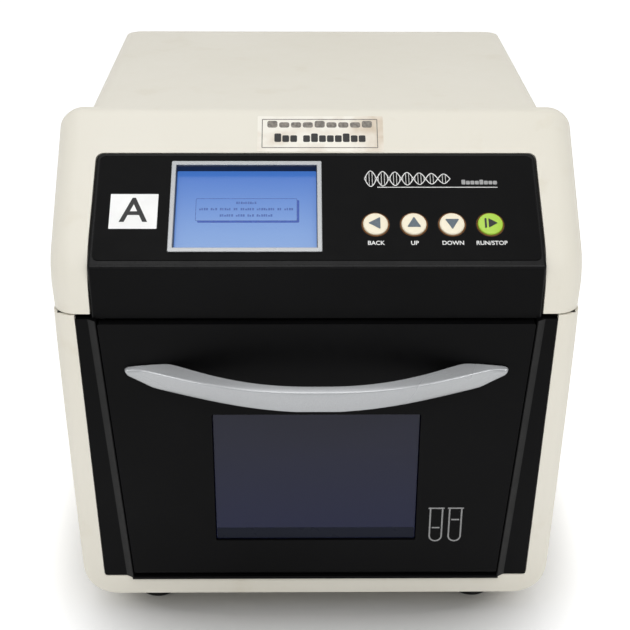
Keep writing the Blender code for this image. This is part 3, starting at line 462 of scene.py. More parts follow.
def boolean(target, tools, operation):
    for tool in tools:
        modifier = target.modifiers.new(operation, "BOOLEAN")
        modifier.operation = operation
        modifier.solver = "EXACT"
        modifier.object = tool
        bpy.context.view_layer.update()
        graph = bpy.context.evaluated_depsgraph_get()
        old = target.data
        target.data = bpy.data.meshes.new_from_object(target.evaluated_get(graph))
        target.data.name = target.name
        target.modifiers.clear()
        bpy.data.meshes.remove(old)
        bpy.data.objects.remove(tool)
    return target


def cut(target, *tools):
    return boolean(target, tools, "DIFFERENCE")


def join(target, *tools):
    return boolean(target, tools, "UNION")


def painted(obj, finish, sharp=32):
    obj.data.materials.clear()
    obj.data.materials.append(finish)
    obj.data.shade_smooth()
    obj.data.set_sharp_from_angle(angle=radians(sharp))
    return obj


def soften(obj, width, segments=3, angle=30):
    """Rounds the edges that the light should catch."""
    bevel = obj.modifiers.new("soft_edges", "BEVEL")
    bevel.width = width
    bevel.segments = segments
    bevel.limit_method = "ANGLE"
    bevel.angle_limit = radians(angle)
    bevel.harden_normals = True
    return obj


def stands_for(obj, *nodes):
    """obj rides as these CAD nodes do, and is shown in their place."""
    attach(obj, BODY_OF[nodes[0]])
    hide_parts(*nodes)
    return obj


def added(obj, body="housing"):
    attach(obj, body)
    return obj


def on_face(y, rear=False):
    """Takes (x, z, height of print) to a front or rear face at y."""
    face = Matrix.Translation((0, y, 0)) @ Matrix.Rotation(pi / 2, 4, "X")
    return face @ Matrix.Scale(-1, 4, (0, 0, 1)) if rear else face


def on_console(obj, across=0.0, up=0.0, out=0.0):
    obj.data.transform(CONSOLE_FRAME @ Matrix.Translation((across, up, out)))
    return obj


def plate(name, outline, low, high, finish=None):
    """(across, up) outline made into a plate from low to high out of the console."""
    return on_console(prism(name, outline, low, high, finish))


def centre_of(node):
    low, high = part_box(node)
    return (low + high) / 2


def axle(node, axis):
    """Where the round CAD piece starts along its axis, its radius and its length."""
    low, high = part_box(node)
    k = "xyz".index(axis)
    start = centre_of(node)
    start[k] = low[k]
    return start, (high - low)[k - 1] / 2, high[k] - low[k]


def rod(node, axis, width):
    start, radius, length = axle(node, axis)
    stands_for(soften(bar(f"{node}.fine", start, axis, radius, length, STEEL), width), node)


def refined(node, width=0.0005, finish=None, segments=2):
    """A CAD piece with its flat faces made whole again, its edges rounded and its real finish."""
    bm = bmesh.new()
    bm.from_mesh(frame["nodes"][node].data)
    bmesh.ops.remove_doubles(bm, verts=bm.verts, dist=2e-6)
    bmesh.ops.dissolve_limit(bm, angle_limit=radians(0.8), verts=bm.verts, edges=bm.edges)
    made = solid(f"{node}.fine", bm, finish or FINISH_OF_SLOT[SLOT_OF[node]])
    soften(made, width, segments)
    return stands_for(made, node)


# ---- housing
def tub_half(z):
    return HALF_WIDTH - (SEAM_Z - z) * TUB_TAPER


def tub_outline(inset, top):
    corner = TUB_CORNER - inset
    centre_z = FLOOR_Z + TUB_CORNER
    right = arc((tub_half(centre_z) - TUB_CORNER, centre_z), corner, -90, 0, 16)
    right.append((tub_half(top) - inset, top))
    return right + mirror(right)


def along(z, low, high):
    """The value at height z of an edge that runs from low to high, each a (value, height)."""
    return low[0] + (high[0] - low[0]) * (z - low[1]) / (high[1] - low[1])


def post_half(z):
    return along(z, (POST_BOTTOM, SILL_Z), (POST_TOP, SEAM_Z))


def plan_outline(half, front, back, radius, steps=10):
    right = arc((half - radius, front + radius), radius, -90, 0, steps)
    right += arc((half - radius, back - radius), radius, 0, 90, steps)
    return right + mirror(right)


def lower_housing():
    tub = prism_y("housing_tub", tub_outline(0, TUB_HIGH.z), 0, BODY_DEPTH)
    plan = plan_outline(HALF_WIDTH, 0, BODY_DEPTH, PLAN_CORNER)
    boolean(tub, [prism_z("plan", plan, 0, HEIGHT)], "INTERSECT")
    hollow = prism_y("hollow", tub_outline(WALL, HEIGHT), 0.004, BODY_DEPTH + 0.01)
    top = HEIGHT
    mouth = [(-POST_BOTTOM, SILL_Z), (POST_BOTTOM, SILL_Z), (post_half(top), top), (-post_half(top), top)]
    doorway = prism_y("doorway", rounded(mouth, (0.0025, 0.0025, 0, 0)), -0.01, 0.02)
    rail_half = 0.1242 + GAP
    seat = prism_x("seat", rectangle(-0.01, 0.02, 0.0272, SILL_Z + 0.001), -rail_half, rail_half)
    cut(tub, hollow, doorway, seat)
    painted(tub, CREAM)
    soften(tub, 0.0009, 4)
    stands_for(tub, "lower_housing")


def slope_depth(z, inset=0.0):
    return RIDGE.y - FACE_Y + (z - RIDGE.z) / tan(SLOPE) + inset / sin(SLOPE)


def slope_height(depth, inset=0.0):
    return RIDGE.z + tan(SLOPE) * (depth - RIDGE.y + FACE_Y - inset / sin(SLOPE))


def slope_point(up, out=0.0):
    point = CONSOLE_FRAME @ Vector((0, up, out))
    return point.y - FACE_Y, point.z


def collar_profile(inset, bottom):
    """(depth, z) side view of the cover's full-width front, sunk by inset."""
    top = HEIGHT - inset
    back = COLLAR_DEPTH - min(inset, WALL)
    corners = [(inset, bottom), (inset, slope_height(inset, inset)), (slope_depth(top, inset), top),
               (back, top), (back + 0.006, bottom)]
    softer = 1 - 0.7 * inset / COLLAR_EDGE
    radii = (0, CHEEK_NOSE - inset, max(CREASE - inset, 0.0006), 0.004 * softer, 0)
    return rounded(corners, radii, 14)


def flare(z):
    return along(z, (1, SEAM_Z), (COVER_HIGH.x / HALF_WIDTH, HEIGHT))


def collar(name, inset, bottom):
    edge = COLLAR_EDGE - inset
    right = [(HALF_WIDTH - COLLAR_EDGE + edge * out, inset + edge * back) for out, back in quarter(12)]
    return loft(name, [[(x * flare(z), behind(d), z) for d, z in collar_profile(sunk, bottom)]
                       for x, sunk in mirror(right) + right])


def hood(name, inset, bottom):
    """Behind the collar: sides that lean in, round shoulders and a quarter-round back."""
    side_top = HEIGHT - HOOD_SHOULDER
    tail_z = HEIGHT - HOOD_TAIL
    levels = [bottom] + [tail_z + (HOOD_TAIL - inset) * rise for rise, _ in quarter(36)]
    lean = (HALF_WIDTH - 0.0005 - HOOD_HALF) / (side_top - SEAM_Z)
    shoulder = HOOD_SHOULDER - inset
    sections = []
    for z in levels:
        over = min(max(z - side_top, 0), shoulder)
        half = HOOD_HALF + (side_top - min(z, side_top)) * lean - inset
        half -= shoulder - sqrt(shoulder**2 - over**2)
        rise = min(max(z - tail_z, 0) / (HOOD_TAIL - inset), 1)
        back = BODY_DEPTH - HOOD_TAIL + (HOOD_TAIL - inset) * sqrt(1 - rise**2)
        front = max(slope_depth(z, inset) + 0.004, 0.03)
        sections.append([(x, behind(d), z) for x, d in plan_outline(half, front, back, 0.01)])
    return loft(name, sections)


def upper_cover():
    bottom = COVER_LOW.z
    shell = join(collar("cover_shell", 0, bottom), hood("hood", 0, bottom))
    below = bottom - 0.02
    cut(shell, join(collar("hollow", WALL, below), hood("hood_inside", WALL, below)))
    half, edge = CONSOLE_HALF + 0.0005, CONSOLE_LENGTH + GAP
    section = [(-0.03, 0.2), (0.035, 0.2), slope_point(edge, -0.02), slope_point(edge, 0.02),
               (-0.03, 0.33)]
    mouth = prism_x("mouth", section, -half, half)
    corner = CONSOLE_TOP_CORNER
    face = rounded(rectangle(-half, half, -0.15, edge), (0, 0, corner, corner), 10)
    boolean(mouth, [plate("face", face, -0.15, 0.15)], "INTERSECT")
    cut(shell, mouth)
    painted(shell, CREAM, 38)
    soften(shell, 0.0007, 3, 40)
    stands_for(shell, "upper_cover")


def feet():
    for node in ("foot_front_left", "foot_front_right", "foot_rear_left", "foot_rear_right"):
        low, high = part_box(node)
        radius, tall = (high.x - low.x) / 2 + 0.0013, high.z - low.z
        profile = [(0, 0.0022), (0.0038, 0.0022), (0.0046, 0.003), (0.0052, 0)]
        profile += arc((radius - 0.001, 0.0008), 0.0008, -90, 0, 5)
        profile += [(radius, tall - 0.001), (radius - 0.0008, tall), (0, tall)]
        foot = turned(f"{node}.fine", profile, RUBBER)
        foot.data.transform(Matrix.Translation(((low.x + high.x) / 2, (low.y + high.y) / 2, low.z)))
        stands_for(foot, node)


# ---- console
SCREEN_LOW, SCREEN_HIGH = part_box("lcd_screen")
GASKET_WALL = 0.0012
SCREEN_X = (SCREEN_LOW.x + GASKET_WALL, SCREEN_HIGH.x - GASKET_WALL)
SCREEN_UP = (0.0131, 0.0738)
SCREEN_SUNK = 0.0056
BEZEL_X = tuple(corner.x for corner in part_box("lcd_bezel"))
BEZEL_RIM = 0.003
BUTTON_UP = 0.0301
BUTTON_R = 0.0077
BUTTON_HOLE_R = 0.0086
BUTTONS = ("back", "up", "down", "run_stop")


def button_x(key):
    low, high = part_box(f"button_{key}")
    return (low.x + high.x) / 2


def film_outline(shrink):
    """The printed film's edge, drawn in by shrink."""
    x = CONSOLE_HALF - FILM_MARGIN - shrink
    radius = CONSOLE_TOP_CORNER - FILM_MARGIN / 2 - shrink
    return soft_box((-x, x), (FILM_FOOT + shrink, CONSOLE_LENGTH - FILM_MARGIN - shrink), radius, 8)


def console_section(inset, drop):
    """(depth, z) section of the console's body, sunk by inset and with its top edge drawn down by drop."""
    foot = (RIDGE.y - FACE_Y + 0.0015 + inset, CONSOLE_LOW.z)
    ridge = (RIDGE.y - FACE_Y + inset, slope_height(RIDGE.y - FACE_Y + inset, inset))
    length = CONSOLE_LENGTH - drop
    back = 0.01
    corners = [foot, ridge, slope_point(length, -inset), slope_point(length, -back),
               (back, RIDGE.z - 0.003), (back, CONSOLE_LOW.z)]
    return rounded(corners, (0, 0.004 - inset / 2, 0.0006, 0, 0, 0), 12)


def cut_key_holes(target, radius):
    for key in BUTTONS:
        hole = bar("hole", (0, 0, -0.01), "z", radius, 0.02, sides=64)
        cut(target, on_console(hole, button_x(key), BUTTON_UP))


def console():
    corner, edge = CONSOLE_TOP_CORNER, 0.0016
    right = []
    for out, back in quarter(14):
        x = CONSOLE_HALF - corner + corner * out
        over = max(x - CONSOLE_HALF + edge, 0)
        sunk = edge - sqrt(max(edge**2 - over**2, 0))
        right.append((x, sunk, corner * back + sunk))
    panel = loft("console_body", [[(x, behind(d), z) for d, z in console_section(sunk, drop)]
                                  for x, sunk, drop in mirror(right) + right])
    lip, under = 0.0025, CONSOLE_LOW.z - 0.005
    inner = [(lip, under), (lip, slope_height(lip, lip)), slope_point(CONSOLE_LENGTH - lip, -lip),
             slope_point(CONSOLE_LENGTH - lip, -0.02), (0.025, RIDGE.z - 0.006), (0.025, under)]
    cut(panel, prism_x("hollow", inner, -CONSOLE_HALF + lip, CONSOLE_HALF - lip))
    groove = plate("groove", film_outline(-0.0004), -0.0004, 0.002)
    cut(groove, plate("island", film_outline(0.0002), -0.01, 0.01))
    cut(panel, groove)
    screen = rectangle(*grown(SCREEN_X, GASKET_WALL + GAP), *grown(SCREEN_UP, GASKET_WALL + GAP))
    cut(panel, plate("window", screen, -0.02, 0.02))
    cut_key_holes(panel, BUTTON_HOLE_R)
    # The console is one moulding. Its straight-ahead faces (the apron) keep the darker black, as painted
    # shade; the rest takes the lighter copy, as painted light.
    painted(panel, SLOPE_PAINTED_LIGHT)
    panel.data.materials.append(BLACK)
    for face in panel.data.polygons:
        face.material_index = int(face.normal.y < -0.985)
    stands_for(soften(panel, 0.0003, 2), "console_panel")
    film = plate("console_film", film_outline(0), -0.0001, 0.00018)
    rim = 0.0002
    around = rectangle(*grown(BEZEL_X, rim), *grown(SCREEN_UP, BEZEL_RIM + rim))
    cut(film, plate("window", around, -0.02, 0.02))
    cut_key_holes(film, BUTTON_HOLE_R + 0.0004)
    added(painted(film, FILM))


def display():
    outer = soft_box(BEZEL_X, grown(SCREEN_UP, BEZEL_RIM), 0.0009)
    bezel = plate("display_frame", outer, GAP, 0.0014)
    cut(bezel, plate("hole", rectangle(*SCREEN_X, *SCREEN_UP), -0.01, 0.01))
    stands_for(soften(painted(bezel, SILVER), 0.00045, 4), "lcd_bezel")
    around = rectangle(*grown(SCREEN_X, GASKET_WALL), *grown(SCREEN_UP, GASKET_WALL))
    opening = soft_box(grown(SCREEN_X, -0.0003), grown(SCREEN_UP, -0.0003), 0.0008)
    walls = plate("display_gasket", around, -SCREEN_SUNK + GAP / 2, 0)
    cut(walls, plate("hole", opening, -0.01, 0.01))
    stands_for(soften(painted(walls, GASKET), 0.0002, 2), "lcd_gasket")
    screen = plate("display_screen", around, -SCREEN_SUNK - 0.0016, -SCREEN_SUNK, DISPLAY)
    stands_for(soften(screen, 0.0002), "lcd_screen")
    message_box()


def message_box():
    """A framed message on the display, with ruled dashes for its words."""
    width, tall = SCREEN_X[1] - SCREEN_X[0], SCREEN_UP[1] - SCREEN_UP[0]
    x = (SCREEN_X[0] + 0.142 * width, SCREEN_X[0] + 0.86 * width)
    up = (SCREEN_UP[0] + 0.385 * tall, SCREEN_UP[0] + 0.66 * tall)
    floor = -SCREEN_SUNK
    line, shadow = 0.00035, 0.0013
    outline = soft_box(x, up, 0.0008)
    rim = plate("display_box_line", outline, floor - PRINT, floor + PRINT)
    cut(rim, plate("inside", soft_box(grown(x, -line), grown(up, -line), 0.0006), -0.01, 0.01))
    added(painted(rim, MID_BLUE))
    fall = soft_box((x[0] + shadow, x[1] + shadow), (up[0] - shadow, up[1] - shadow), 0.0008)
    shade = plate("display_box_shadow", fall, floor - PRINT, floor + 0.8 * PRINT)
    cut(shade, plate("inside", outline, -0.01, 0.01))
    added(painted(shade, DARK_BLUE))
    middle = (x[0] + x[1]) / 2
    letter, letter_gap, high = 0.00115, 0.00028, 0.0017
    rows = ((0.8, (9,)), (0.52, (4, 3, 5, 2, 6, 8, 2, 4)), (0.24, (6, 4, 3, 7)))
    for number, (share, words) in enumerate(rows):
        pitch = letter + letter_gap
        total = sum(words) * pitch + (len(words) - 1) * pitch
        start = middle - total / 2
        level = up[0] + (up[1] - up[0]) * share - high / 2
        bm = bmesh.new()
        for word in words:
            for k in range(word):
                dash = letter * (0.75 if k % 3 == 1 else 1.0)
                lift = high * (0.72 if (k * 5 + word) % 4 == 0 else 1.0)
                centre = Vector((start + dash / 2, level + lift / 2, floor))
                scale = Matrix.Diagonal((dash, lift, 2 * PRINT, 1))
                bmesh.ops.create_cube(bm, size=1, matrix=Matrix.Translation(centre) @ scale)
                start += pitch
            start += pitch
        dashes = on_console(solid(f"display_words_{number + 1}", bm, MID_BLUE))
        added(dashes)


def cap_profile():
    rim, crown = 0.001, 0.0021
    shoulder = BUTTON_R - rim
    profile = [(0, -0.0092), (0.003, -0.0092), (0.003, -0.004), (BUTTON_R, -0.004)]
    profile += arc((shoulder, 0.0006), rim, 0, 72, 6)
    edge_r, edge_z = profile[-1]
    for i in range(1, 8):
        share = 1 - i / 7
        profile.append((edge_r * share, edge_z + (crown - edge_z) * (1 - share**2)))
    return profile


def arrow(turn, width, length, radius):
    """A triangle that points along +X turned by turn degrees."""
    points = [(-length / 2.6, -width / 2), (length * 1.6 / 2.6, 0), (-length / 2.6, width / 2)]
    a = radians(turn)
    spun = [(x * cos(a) - y * sin(a), x * sin(a) + y * cos(a)) for x, y in points]
    return rounded(spun, (radius,) * 3, 5)


def lettering(name, text, size, finish, weight=0.0):
    """Raised print of generic words in the plain built-in face, centred on the origin."""
    curve = bpy.data.curves.new(name, "FONT")
    curve.body = text
    curve.size = size
    curve.align_x = "CENTER"
    curve.align_y = "CENTER"
    curve.extrude = PRINT
    curve.offset = weight
    words = linked(name, curve)
    bpy.context.view_layer.update()
    mesh = bpy.data.meshes.new_from_object(words.evaluated_get(bpy.context.evaluated_depsgraph_get()))
    bpy.data.objects.remove(words)
    mesh.name = name
    mesh.materials.clear()
    mesh.materials.append(finish)
    return linked(name, mesh)


def buttons():
    wide, long, tip = 0.0086, 0.0074, 0.0004
    run = [[(x + 0.0009, y) for x, y in arrow(0, 0.0068, 0.0056, 0.0003)],
           soft_box((-0.0036, -0.0024), (-0.0034, 0.0034), 0.0003)]
    words = ("BACK", "UP", "DOWN", "RUN/STOP")
    signs = [[arrow(turn, wide, long, tip)] for turn in (180, 90, 270)] + [run]
    outer, inner, low, high = BUTTON_HOLE_R - 0.0001, BUTTON_R + 0.0002, -0.002, 0.0003
    ring = [(outer, low), (outer, high), ((outer + inner) / 2, 2 * high), (inner, high), (inner, low)]
    for key, word, shapes in zip(BUTTONS, words, signs):
        node, x = f"button_{key}", button_x(key)
        green = key == "run_stop"
        cap = turned(f"{node}.cap", cap_profile(), LIME if green else IVORY, 64)
        stands_for(on_console(cap, x, BUTTON_UP), node)
        for number, sign in enumerate(shapes):
            mark = prism(f"{node}.sign_{number + 1}", sign, 0.0012, 0.00216,
                         BLACK_INK if green else SLATE_INK)
            added(on_console(mark, x, BUTTON_UP), node)
        # The amber ring stands for the hole's edge, coloured with a painted warm glow.
        added(on_console(hoop(f"{node}.ring", ring, KEY_RING_PAINTED_GLOW), x, BUTTON_UP))
        label = lettering(f"{node}.word", word, 0.004, WHITE_INK, 0.00008)
        added(on_console(label, x, 0.0167, 0.00018 + PRINT / 2))
    refined("keypad_board", 0.0002)
    refined("lcd_module", 0.0004, ZINC)


def stroke(name, points, width, finish, base, closed=False):
    """A printed line of even width along (across, up) points, on the console or the door."""
    half = width / 2
    last = len(points) - 1
    left, right = [], []
    for i, point in enumerate(points):
        here = Vector(point)
        before = Vector(points[i - 1 if i or closed else 0])
        after = Vector(points[i + 1 if i < last else 0 if closed else last])
        side = Vector((before.y - after.y, after.x - before.x)).normalized() * half
        left.append(here + side)
        right.append(here - side)
    sections = [[base @ Vector((*a, -PRINT / 2)), base @ Vector((*b, -PRINT / 2)),
                 base @ Vector((*b, PRINT)), base @ Vector((*a, PRINT))] for a, b in zip(left, right)]
    return loft(name, sections, finish, closed=closed)


def joined(name, parts):
    """Several strokes of one print made into one piece."""
    bm = bmesh.new()
    for part in parts:
        bm.from_mesh(part.data)
    finish = parts[0].data.materials[0]
    for part in parts:
        bpy.data.objects.remove(part)
    return solid(name, bm, finish)


def greeked(name, words, span, level, tall, finish, out):
    """Blocks in place of words, the way a drawing shows small print without spelling anything."""
    space = 0.17
    unit = (span[1] - span[0]) / (sum(words) + space * (sum(words) - len(words)) + (len(words) - 1) * 0.9)
    start, count = span[0], 0
    blocks = []
    for word in words:
        for _ in range(word):
            count += 1
            high = tall * (1.28 if count % 4 == 1 else 1.0)
            foot = level - tall / 2
            outline = soft_box((start, start + unit), (foot, foot + high), 0.22 * unit, 4)
            blocks.append(plate("block", outline, out - PRINT / 2, out + PRINT, finish))
            start += unit * (1 + space)
        start += unit * (0.9 - space)
    return added(joined(name, blocks))


def helix_device(film):
    """Generic device over the underline: a double helix with rungs, tapering to the right."""
    x0, x1, level, turns = 0.03, 0.0835, 0.064, 3.5
    steps = 140
    strands = []

    def reach(share):
        return (0.006 - 0.0026 * share) * sin(2 * pi * turns * share)

    for hand in (-1, 1):
        points = [(x0 + (x1 - x0) * i / steps, level + hand * reach(i / steps)) for i in range(steps + 1)]
        strands.append(stroke("strand", points, 0.00058, WHITE_INK, film))
    for i in range(28):
        share = (i + 0.5) / 28
        half, x = abs(reach(share)), x0 + (x1 - x0) * share
        if half > 0.0016:
            strands.append(stroke("rung", [(x, level - half), (x, level + half)], 0.0003, WHITE_INK, film))
    added(joined("console_helix", strands))


def console_prints():
    """Helix device and underline, identification sticker, and the old label on the forehead."""
    film = CONSOLE_FRAME @ Matrix.Translation((0, 0, 0.00018))
    helix_device(film)
    added(stroke("console_underline", [(0.0378, 0.0576), (0.1128, 0.0576)], 0.0005, WHITE_INK, film))
    greeked("console_small_print", (8,), (0.0905, 0.1126), 0.0611, 0.0027, PALE_INK, 0.00018)
    outline = soft_box((-0.1273, -0.0979), (0.027, 0.0524), 0.0004)
    added(plate("id_sticker", outline, 0.0001, 0.0003, PAPER))
    letter = lettering("id_sticker_letter", "A", 0.025, BLACK_INK, 0.00025)
    added(on_console(letter, -0.1126, 0.0397, 0.0003 + PRINT / 2))
    outline = soft_box((-0.0374, 0.0428), (0.0847, 0.1126), 0.0006)
    added(plate("old_label", outline, -0.0001, 0.00022, OLD_PAPER))
    paper = CONSOLE_FRAME @ Matrix.Translation((0, 0, 0.00022))
    box = rectangle(-0.0344, 0.039, 0.0878, 0.11)
    sides = [stroke("side", [box[i], box[(i + 1) % 4]], 0.00055, FADED_INK, paper) for i in range(4)]
    added(joined("old_label_border", sides))
    greeked("old_label_line_1", (9,), (-0.0312, 0.0358), 0.1056, 0.0042, FADED_INK, 0.00022)
    greeked("old_label_line_2", (3, 8), (-0.0266, 0.0314), 0.0948, 0.0052, BLACK_INK, 0.00022)


# ---- door
PANE_X, PANE_Z = (PANE_LOW.x, PANE_HIGH.x), (PANE_LOW.z, PANE_HIGH.z)
DOOR_PROUD = FACE_Y - DOOR_LOW.y
DOOR_PLATE = 0.005
DOOR_FLANGE_DEPTH = DOOR_HIGH.y - FACE_Y
HINGE_DEPTH = 0.003
HINGE_Z = DOOR_LOW.z + HINGE_DEPTH + DOOR_PROUD
HINGE_KNUCKLES = ((0.098, 0.1032), (0.1128, 0.118))
DOOR_HALF_BOTTOM = 0.1224


def door_half(z):
    return along(z, (DOOR_HALF_BOTTOM, DOOR_LOW.z), (DOOR_HIGH.x, DOOR_HIGH.z))


def door_outline(inset, z0, z1, radius=0.0):
    corners = [(-door_half(z0) + inset, z0), (door_half(z0) - inset, z0),
               (door_half(z1) - inset, z1), (-door_half(z1) + inset, z1)]
    return rounded(corners, (0, 0, radius, radius), 5)


def hinge_bar(name, x, radius, sides=48):
    return bar(name, (x[0], behind(HINGE_DEPTH), HINGE_Z), "x", radius, x[1] - x[0], sides=sides)


def mirrored(side, pair):
    return tuple(sorted(side * value for value in pair))


def door_panel():
    plate_back = DOOR_PLATE - DOOR_PROUD
    z0, z1 = DOOR_LOW.z, DOOR_HIGH.z
    door = prism_y("door_front", door_outline(0, z0, z1, 0.0012), -DOOR_PROUD, DOOR_FLANGE_DEPTH)
    rim, flange_z = 0.003, 0.047
    cut(door, prism_y("hollow", door_outline(rim, flange_z, z1 - rim, 0.002), plate_back, 0.02))
    cut(door, prism_x("below", rectangle(plate_back, 0.02, 0.02, flange_z + 0.001), -0.2, 0.2))
    cut(door, slab("window", grown(PANE_X, GAP), grown(PANE_Z, GAP), 0.0012, -0.01, 0.02))
    for side in (-1, 1):
        join(door, *[hinge_bar("knuckle", mirrored(side, x), 0.0045) for x in HINGE_KNUCKLES])
    corner = [(-0.01, 0.02), (HINGE_DEPTH, 0.02)]
    corner += arc((HINGE_DEPTH, HINGE_Z), HINGE_DEPTH + DOOR_PROUD, 270, 180, 20) + [(-0.01, HINGE_Z)]
    cut(door, prism_x("corner", corner, -0.2, 0.2))
    for side in (-1, 1):
        cut(door, hinge_bar("pocket", mirrored(side, (0.1035, 0.1125)), 0.005))
        cut(door, hinge_bar("bore", mirrored(side, (0.097, 0.119)), 0.0023))
    painted(door, BLACK)
    stands_for(soften(door, 0.0005, 3), "door_panel")


def door_window():
    front = PANE_LOW.y - FACE_Y
    pane = slab("window_pane", PANE_X, PANE_Z, 0.001, front, PANE_HIGH.y - FACE_Y, ACRYLIC)
    stands_for(soften(pane, 0.0006, 3), "door_window")
    # A near-black strip across the pane's foot is painted shade, where the door's lower ledge shows dark
    # through it.
    margin = 0.0007
    tall = (PANE_LOW.z + margin, PANE_LOW.z + 0.009)
    shade_strip = slab("pane_foot_shade", grown(PANE_X, -margin), tall, 0.0004, front - PRINT, front + PRINT, PANE_FOOT_PAINTED_SHADE)
    added(shade_strip, "door")


def bow_reach(x, reach, half, power):
    return reach * cos(pi / 2 * min(abs(x) / half, 1) ** power)


def at_least(value, floor, blend):
    """The larger of the two, with the change from one to the other blended."""
    return (value + floor + hypot(value - floor, blend)) / 2


def door_handle():
    """Bow whose top falls a little to a bright front edge; its ends widen back to the door and taper."""
    half = HANDLE_HIGH.x
    top_z, bottom_z = HANDLE_HIGH.z, HANDLE_LOW.z
    full = top_z - bottom_z
    reach = FACE_Y - HANDLE_LOW.y
    crown, edge = 0.001, 0.0016
    door_face = DOOR_PROUD + GAP
    stations, tip = 140, 0.003
    sections = []
    for i in range(stations + 1):
        x = half * sin(pi / 2 * (2 * i / stations - 1))
        share = abs(x) / half
        closing = max(abs(x) - (half - tip), 0) / tip
        shrink = sqrt(max(1 - closing**2, 0.01))
        back = at_least(bow_reach(x, 0.0324, 0.096, 1.22), door_face, 0.002)
        least = back + 1.4 * edge
        low = at_least(bow_reach(x, reach - crown / 2, half, 0.92), least, 0.0035)
        high = at_least(bow_reach(x, reach - 3 * crown / 2, half, 1.25), least, 0.0035)
        low, high = [back + (out - back) * shrink for out in (min(low, reach - crown / 2), high)]
        bottom = bottom_z + 0.062 * at_least(share - 0.86, 0, 0.03)
        top = top_z - 0.003 * share**10
        middle, tall = (top + bottom) / 2, (top - bottom) * shrink
        top, bottom = middle + tall / 2, middle - tall / 2
        crest = top - (0.0015 + 0.0008 * share) * tall / full
        front = []
        for k in range(9):
            up = k / 8
            out = low + (high - low) * up + crown * shrink * 4 * up * (1 - up)
            front.append((out, bottom + (crest - bottom) * up))
        soft = edge * shrink * min(1, tall / full + 0.2)
        radii = [0.7 * soft] + [0] * 7 + [soft, soft / 2, soft / 2]
        outline = rounded(front + [(back, top), (back, bottom)], radii, 6)
        sections.append([(x, behind(-out), z) for out, z in outline])
    handle = loft("bow_handle", sections, SILVER, 60)
    stands_for(handle, "door_handle")


def door_surround():
    bottom, top = SILL_Z + GAP, SEAM_Z - 0.0035
    strips = []
    for side in (-1, 1):
        sections = []
        for z in (bottom, top):
            outer, inner = post_half(z) - GAP, door_half(z) + 0.0008
            section = [(outer, 0.0005), (inner + 0.0052, 0.0005), (inner + 0.0006, -0.0026),
                       (inner, -0.0026), (inner, 0.004), (outer, 0.004)]
            soft = rounded(section, (0.0003, 0.0012, 0.0003, 0.0002, 0, 0), 5)
            sections.append([(side * x, behind(d), z) for x, d in soft])
        strips.append(loft("strip", sections))
    frame_piece = strips[0]
    frame_piece.name = "door_frame"
    lip, rail_top = 0.0273, DOOR_LOW.z - 0.0005
    rail = [(-0.0025, lip), (-GAP, lip), (-GAP, lip + 0.0002), (0.004, lip + 0.0002),
            (0.004, rail_top), (-0.0025, rail_top)]
    soft = rounded(rail, (0.0004, 0, 0, 0, 0, 0.0004), 4)
    join(frame_piece, prism_x("rail", soft, -0.1242, 0.1242), strips[1])
    painted(frame_piece, BLACK)
    # The lip faces that slope in towards the door take the lighter copy, as a painted highlight along the
    # bevel.
    frame_piece.data.materials.append(BEVEL_PAINTED_LIGHT)
    for face in frame_piece.data.polygons:
        face.material_index = int(0.2 < abs(face.normal.x) < 0.95 and face.normal.y < 0)
    stands_for(frame_piece, "door_surround")


def tube_sign():
    """Pictogram on the door: two sample tubes in thin line, with their liquid levels."""
    line, half, top = 0.001, 0.004, 0.0871
    strokes = []
    for x, level in ((0.0798, 0.07), (0.0925, 0.0765)):
        bottom = arc((x, 0.0588 + half + line / 2), half, 180, 360, 16)
        wall = [(x - half, top - 0.002)] + bottom + [(x + half, top - 0.002)]
        lip, mark = half + 0.0013, half - 0.0014
        for points in (wall, [(x - lip, top - 0.0015), (x + lip, top - 0.0015)],
                       [(x - mark, level), (x + mark, level)]):
            strokes.append(stroke("line", points, line, GREY_INK, on_face(DOOR_LOW.y - 0.00002)))
    added(joined("door_tubes_sign", strokes), "door")


def door_inside():
    refined("door_liner", 0.0004)
    for name in ("left", "right"):
        refined(f"hinge_bracket_{name}", 0.0004, ZINC)
        rod(f"hinge_pin_{name}", "x", 0.0004)


# ---- chamber
def threaded(node, axis):
    """A lead screw: its flank follows a helix round the shaft."""
    start, radius, length = axle(node, axis)
    pitch, depth, plain = 0.002, 0.0005, 0.006
    sides, rings = 12, int(length / pitch * 5)
    sections = []
    for i in range(rings + 1):
        place = length * i / rings
        ring = []
        for k in range(sides):
            turn = 2 * pi * k / sides
            wave = 0.5 + 0.5 * cos(2 * pi * (place / pitch) - turn)
            r = radius - (depth * wave if plain < place < length - plain else 0)
            ring.append((r * cos(turn), r * sin(turn), place))
        sections.append(ring)
    screw = loft(f"{node}.thread", sections, STEEL, 60)
    screw.data.transform(Matrix.Translation(start) @ AXIS_TURN[axis])
    stands_for(screw, node)


